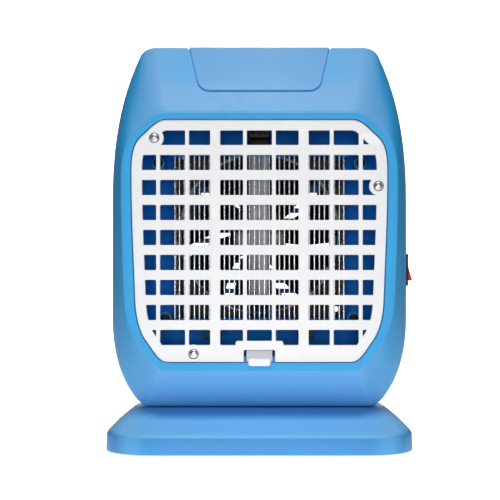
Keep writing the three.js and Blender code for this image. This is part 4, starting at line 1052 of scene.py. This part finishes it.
def chamber_wall():
    face_y, back_y = chamber_high.y - WALL, chamber_high.y
    fan = middle("fan_frame")
    inner = inset(closed_outline(FULL_NODES), WALL + GAP)
    wall = prism("y", [tuple(p) for p in inner], face_y, back_y)

    def opening(margin):
        low = (-OPENING_HALF - margin, fan.z - OPENING_HALF_HEIGHT - margin)
        high = (OPENING_HALF + margin, fan.z + OPENING_HALF_HEIGHT + margin)
        return rectangle(low, high, OPENING_CORNER + margin, 12)

    tray_path = rectangle((-46.5, 0), (46.5, node_box("catch_tray")[1].z - 1))
    switch_low, switch_high = node_box("switch_body")
    switch_room = rectangle((switch_low.x - 4, switch_low.z), (HALF, switch_high.z))
    outlines = (opening(0.9), tray_path, switch_room)
    cut(wall, *[prism("y", outline, face_y - 9, back_y + 2) for outline in outlines])
    frame_rim = rounded_plate("y", [opening(RIM), opening(0)], face_y - 5.5, back_y, 0.6)
    bosses, holes = [], []
    for at in map(middle_xz, CHAMBER_SCREWS):
        bosses.append(lathe("y", at, [(4.0, face_y - 4), (4.6, face_y - 3.4), (4.6, back_y)]))
        holes.append(lathe("y", at, [(3.4, face_y - 5), (3.4, face_y - 1.4)]))
    for at in fan_corners():
        bosses.append(lathe("y", at, [(3.2, face_y - 2), (3.6, face_y - 1.6), (3.6, back_y)]))
    unite(wall, frame_rim, *bosses)
    cut(wall, *holes)
    finish_piece(wall, "chamber_wall_look", "chamber_blue")


WIRES, SIDE_WIRES, PITCH, WIRE_RADIUS = 33, 6, 3.13, 0.48


def cage_outline(front_y, side_x, back_y, half_width, corner):
    """A U-shaped strip seen from above, with rounded outer corners."""
    outer_x, outer_y = side_x + half_width, front_y - half_width
    inner_x, inner_y = side_x - half_width, front_y + half_width
    points = [(outer_x, back_y)]
    for quarter, cx in enumerate([outer_x - corner, -outer_x + corner]):
        for i in range(7):
            angle = -math.pi / 2 * (quarter + i / 6)
            points.append((cx + corner * math.cos(angle), outer_y + corner + corner * math.sin(angle)))
    inner = [(-inner_x, back_y), (-inner_x, inner_y), (inner_x, inner_y), (inner_x, back_y)]
    return [*points, (-outer_x, back_y), *inner]


def wire_cage():
    live_low, live_high = node_box("grid_wires_live")
    front_y, side_x = live_low.y + 0.5, live_high.x - 0.5
    front = [((i - (WIRES - 1) / 2) * PITCH, front_y) for i in range(WIRES)]
    right = [(side_x, front_y + (i + 1) * PITCH) for i in range(SIDE_WIRES)]
    places = [(-x, y) for x, y in reversed(right)] + front + right
    bus_end = front_y + SIDE_WIRES * PITCH + 0.5
    for phase, phase_name in enumerate(("live", "return")):
        name = "grid_wires_" + phase_name
        low, high = node_box(name)
        bus_z = (high.z - 0.9, high.z) if phase == 0 else (low.z, low.z + 0.9)
        bus = rounded_plate("z", [cage_outline(front_y, side_x, bus_end, 0.5, 0.5)], *bus_z, 0.1, steps=0)
        rods = [
            lathe("z", place, [(WIRE_RADIUS, low.z), (WIRE_RADIUS, high.z)], 12)
            for i, place in enumerate(places)
            if i % 2 == phase
        ]
        wires = joined([bus, *rods])
        finish_piece(wires, name + "_look", "wire_steel")
    for part in ("top", "bottom"):
        name = "grid_holder_" + part
        low, high = node_box(name)
        outline = cage_outline(front_y, side_x, high.y, 2.9, 3)
        holder = rounded_plate("z", [outline], low.z, high.z, 0.5)
        finish_piece(holder, name + "_look", "chamber_blue")
    for side in ("left", "right"):
        name = "grid_terminal_" + side
        low, high = node_box(name)
        block = rounded_box(low, high, 0.5)
        grooves = [
            rounded_box((x - 0.6, low.y - 1, low.z - 1), (x + 0.6, low.y + 1.2, high.z - 1.4), 0.2)
            for x in ((low.x * 2 + high.x) / 3, (low.x + high.x * 2) / 3)
        ]
        cut(block, *grooves)
        finish_piece(block, name + "_look", "black_plastic")


def lamp():
    low, high = node_box("lamp_tube")
    radius = (high.y - low.y) / 2
    centre_y = (low.y + high.y) / 2
    reach = (high.x - low.x) / 2 - radius
    tubes = []
    for side in (-1, 1):
        profile = []
        for i in range(9):
            angle = math.pi / 2 * i / 8
            across = max(0.02, radius * math.sin(angle))
            profile.append((across, low.z + radius * (1 - math.cos(angle))))
        profile += [(radius, z) for z in (low.z + 30, low.z + 60, high.z - 0.6)]
        profile.append((radius - 0.6, high.z))
        tubes.append(lathe("z", (side * reach, centre_y), profile))
    bridge = lathe("x", (centre_y, low.z + 7), [(1.6, -reach), (1.6, reach)], 20)
    glass = unite(tubes[0], tubes[1], bridge)
    finish_piece(glass, "lamp_tube_look", "lamp_glass")

    cap_low, cap_high = node_box("lamp_cap")
    spigot_z = cap_low.z + 8
    cap = rounded_box(cap_low, (cap_high.x, cap_high.y, spigot_z), 1.2)
    spigot = [(3.6, spigot_z - 2), (3.6, cap_high.z - 0.5), (3.1, cap_high.z)]
    unite(cap, lathe("z", (0, centre_y), spigot))
    well = [(radius + 0.25, cap_low.z - 1), (radius + 0.25, high.z + 0.2)]
    cut(cap, *[lathe("z", (side * reach, centre_y), well) for side in (-1, 1)])
    finish_piece(cap, "lamp_cap_look", "black_plastic")

    socket_low, socket_high = node_box("lamp_socket")
    socket = rounded_box(socket_low, socket_high, 1.0)
    start, end = (socket_low.y - 1, socket_low.z + 2), (socket_low.y + 0.7, socket_high.z - 2)
    grooves = [rounded_box((x - 0.7, *start), (x + 0.7, *end), 0.25) for x in (-4, 0, 4)]
    cut(socket, *grooves, lathe("z", (0, centre_y), [(3.9, socket_low.z - 1), (3.9, socket_low.z + 7)]))
    finish_piece(socket, "lamp_socket_look", "black_plastic")

    bracket_low, bracket_high = node_box("lamp_bracket")
    shelf = rounded_box(bracket_low, (bracket_high.x, bracket_high.y, bracket_low.z + 2), 0.5)
    flange = rounded_box((bracket_low.x, bracket_high.y - 2, bracket_low.z), bracket_high, 0.5)
    unite(shelf, flange)
    finish_piece(shelf, "lamp_bracket_look", "wire_steel")


# ---- Fan -----------------------------------------------------------------------------------------

DUCT_RADIUS, HUB_RADIUS, BLADES = 52.5, 19, 7


def fan_frame():
    low, high = node_box("fan_frame")
    centre = middle("fan_frame")
    square = rectangle((low.x, low.z), (high.x, high.z), 5, 8)
    frame = rounded_plate("y", [square, disc((0, centre.z), DUCT_RADIUS, 96)], low.y, high.y, 0.8)
    struts = []
    for i in range(4):
        angle = math.pi / 2 * (i + 0.5)
        rings = []
        for radius, half in ((HUB_RADIUS - 3, 2.2), (DUCT_RADIUS + 1, 1.6)):
            centre_x, centre_z = radius * math.cos(angle), centre.z + radius * math.sin(angle)
            ring = []
            for k in range(12):
                turn = 2 * math.pi * k / 12
                sideways, up = half * math.cos(turn), 1.7 * math.sin(turn)
                x, z = centre_x - sideways * math.sin(angle), centre_z + sideways * math.cos(angle)
                ring.append((x, high.y - 1.8 + up, z))
            rings.append(ring)
        struts.append(make_object("strut", *loft(rings)))
    wide = HUB_RADIUS - 1
    seat_profile = [(wide, high.y - 3.2), (wide, high.y - 0.7), (wide - 0.7, high.y)]
    seat = lathe("y", (0, centre.z), seat_profile, 64)
    post = lathe("y", (0, centre.z), [(6, low.y + 10.5), (6, high.y - 1)], 40)
    unite(frame, *struts, seat, post)
    bore = lathe("y", (0, centre.z), [(4.1, low.y), (4.1, high.y - 2)])
    holes = [lathe("y", at, [(2.2, low.y - 1), (2.2, high.y + 1)], 20) for at in fan_corners()]
    cut(frame, bore, *holes)
    finish_piece(frame, "fan_frame_look", "black_plastic")


def fan_blade(start, centre_z, middle_y):
    """One blade from the hub out, thick in the middle of its chord and thin along its edges."""
    tip, root = DUCT_RADIUS - 1.4, HUB_RADIUS - 0.8
    rings = []
    stations = 14
    for i in range(stations + 1):
        t = i / stations
        radius = root + (tip - root) * t
        rounding = min(1.0, (1.02 - t) / 0.12) ** 0.5
        chord = (21 + 21 * t) * (0.72 + 0.28 * rounding)
        pitch = math.radians(48 - 24 * t)
        ring = []
        for k in range(20):
            turn = 2 * math.pi * k / 20
            station = math.cos(turn)
            camber = 1.8 * (1 - station**2)
            thick = 0.7 * math.sin(turn) * (0.55 + 0.45 * (1 - station**2))
            reach, across = station * chord / 2, camber + thick
            arc = reach * math.cos(pitch) - across * math.sin(pitch)
            angle = start + 0.28 * t + arc / radius
            y = middle_y + reach * math.sin(pitch) + across * math.cos(pitch)
            ring.append((radius * math.cos(angle), y, centre_z + radius * math.sin(angle)))
        rings.append(ring)
    return make_object("blade", *loft(rings))


def fan_impeller():
    centre = middle("fan_frame")
    frame_low = node_box("fan_frame")[0]
    front, back = frame_low.y + 2.6, frame_low.y + 20
    profile = []
    for i in range(7):
        angle = math.pi / 2 * i / 6
        profile.append((HUB_RADIUS - 2.5 + 2.5 * math.sin(angle), front + 2.5 * (1 - math.cos(angle))))
    inner = HUB_RADIUS - 2
    profile += [(HUB_RADIUS, back), (inner, back), (inner, front + 2.4), (4.2, front + 2.4)]
    profile += [(3.8, front + 6.5), (1.8, front + 6.5), (1.8, front + 2.2)]
    hub = lathe("y", (0, centre.z), [(0.05, front), *profile, (0.05, front + 2.2)], 72)
    inside = lathe("y", (0, centre.z), [(inner + 0.1, front + 2), (inner + 0.1, back + 1)], 72)
    blades = [fan_blade(2 * math.pi * i / BLADES, centre.z, frame_low.y + 10) for i in range(BLADES)]
    ring = cut(joined(blades), inside)
    unite(hub, ring)
    finish_piece(hub, "fan_impeller_look", "fan_gloss_black", "impeller", sharp=40)


# ---- Rear and side fittings ----------------------------------------------------------------------


def catch_tray():
    low, high = node_box("catch_tray")
    inner_y = REAR_Y - WALL
    half = 45
    floor_z = low.z + 1
    rim_z = high.z - 2

    def body(margin, lift):
        front = low.y + margin
        run = 22
        return [
            (front + run, floor_z + margin),
            (inner_y - margin, floor_z + margin),
            (inner_y - margin, rim_z + lift),
            (front - (lift * run / 18 if lift else 0), rim_z + lift),
        ]

    bin_shape = prism("x", body(0, 0), -half, half)
    cut(bin_shape, prism("x", body(1.8, 3), -half + 1.8, half - 1.8))
    face = rounded_box((low.x, inner_y - 0.2, low.z), (high.x, REAR_Y, high.z), 0.8)
    pull = rounded_box((-14, REAR_Y - 1, rim_z - 3), (14, high.y, rim_z - 0.4), 0.9)
    scoop = lathe("x", (REAR_Y + 3.2, rim_z - 7), [(5, -12), (5, 12)], 40)
    unite(bin_shape, face, pull)
    cut(bin_shape, scoop)
    finish_piece(bin_shape, "catch_tray_look", "housing_blue", "tray")


ROCKER_TILT = math.radians(12)


def switch():
    low, high = node_box("switch_body")
    centre = middle("switch_body")
    flange_x = HALF + GAP
    edge = rectangle((low.y, low.z), (high.y, high.z), 1.2, 5)
    well = rectangle((low.y + 3, centre.z - 8.6), (high.y - 3, centre.z + 8.6), 0.4, 3)
    frame = rounded_plate("x", [edge, well], flange_x, high.x, 0.5)
    body = rounded_box((low.x, low.y + 1.5, low.z + 1.2), (flange_x + 0.6, high.y - 1.5, high.z - 1.2), 0.6)
    cut(body, prism("x", well, high.x - 11, high.x + 1))
    unite(frame, body)
    finish_piece(frame, "switch_body_look", "black_plastic")

    reach, half_width, lift = 7.7, 4.2, 2.4
    pivot_x = high.x - 3
    face = []
    for i in range(13):
        u = reach - 2 * reach * i / 12
        face.append((u, 1.45 + 0.7 * abs(u / reach) ** 1.5))
    outline = [(reach, -0.5), *face, (-reach, -0.5), (-4.5, -5.9), (4.5, -5.9)]
    cos, sin = math.cos(ROCKER_TILT), math.sin(ROCKER_TILT)
    turned = [
        (pivot_x + (v + lift) * cos - u * sin, centre.z + u * cos + (v + lift) * sin) for u, v in outline
    ]
    rocker = rounded_plate("y", [turned], centre.y - half_width, centre.y + half_width, 0.35, steps=3)
    finish_piece(rocker, "switch_rocker_look", "switch_red", "rocker", weighted=True)


PIN_X, LOBE_RADIUS = 4.3, 3.9


def power_inlet():
    low, high = node_box("power_inlet")
    z = middle("inlet_pin_left").z
    flange_y = REAR_Y + GAP
    outline = rectangle((low.x, low.z), (high.x, high.z), 1.6, 6)
    lobes = []
    for side in (1, -1):
        for i in range(17):
            angle = math.pi * (i / 16 - 0.5) + (0 if side > 0 else math.pi)
            lobes.append((side * PIN_X + LOBE_RADIUS * math.cos(angle), z + LOBE_RADIUS * math.sin(angle)))
    rim = rounded_plate("y", [outline, lobes], flange_y, high.y, 0.4)
    body_low = (low.x + INLET_RIM, low.y, low.z + INLET_RIM)
    body = rounded_box(body_low, (high.x - INLET_RIM, flange_y + 0.6, high.z - INLET_RIM), 0.5)
    cut(body, prism("y", lobes, low.y + 4, flange_y + 3))
    pin_hole = [(1.5, low.y - 1), (1.5, low.y + 5)]
    cut(body, *[lathe("y", (side * PIN_X, z), pin_hole, 20) for side in (-1, 1)])
    unite(rim, body)
    finish_piece(rim, "power_inlet_look", "black_plastic")


# ---- Scene ---------------------------------------------------------------------------------------


def studio_floor():
    """A pale floor, and on it a sweep of lit paper that widens towards the back and curves up there."""
    spine = [(-0.75, 0.08, 0), (-0.2, 0.145, 0), (0, 0.19, 0), (0.9, 0.42, 0)]
    for i in range(1, 13):
        angle = math.pi / 2 * i / 12
        spine.append((0.9 + 1.2 * math.sin(angle), 0.42 + 0.38 * i / 12, 1.2 * (1 - math.cos(angle))))
    spine.append((2.1, 0.8, 2.6))
    lift = 0.0003  # keeps the paper off the floor
    sweep = [[(side * half / MM, y / MM, (z + lift) / MM) for side in (-1, 1)] for y, half, z in spine]
    ground = [[(x / MM, y / MM, 0) for y in (-3, 3)] for x in (-3, 3)]
    for name, rings, glow in (("studio_sweep", sweep, 0.9), ("studio_floor", ground, 0)):
        sheet = make_object(name, *loft(rings, close_ring=False, caps=False))
        for polygon in sheet.data.polygons:
            polygon.use_smooth = True
        sheet.data.materials.append(studio_paper(name, glow))


def dress_cad_nodes():
    """Gives every CAD node that still shows the look of its material slot."""
    for entry in frame["record"]["subparts"]:
        node = frame["nodes"][entry["node"]]
        node.data.materials.clear()
        node.data.materials.append(looks[entry["material_slot"]])


add_camera()
add_lights()
studio_floor()
dress_cad_nodes()
front_shell()
top_cover()
rear_shell()
foot()
rubber_feet()
front_grille()
grille_latch()
for screw in GRILLE_SCREWS + CHAMBER_SCREWS + HOUSING_SCREWS:
    cross_screw(screw)
chamber_wall()
wire_cage()
lamp()
fan_frame()
fan_impeller()
catch_tray()
switch()
power_inlet()
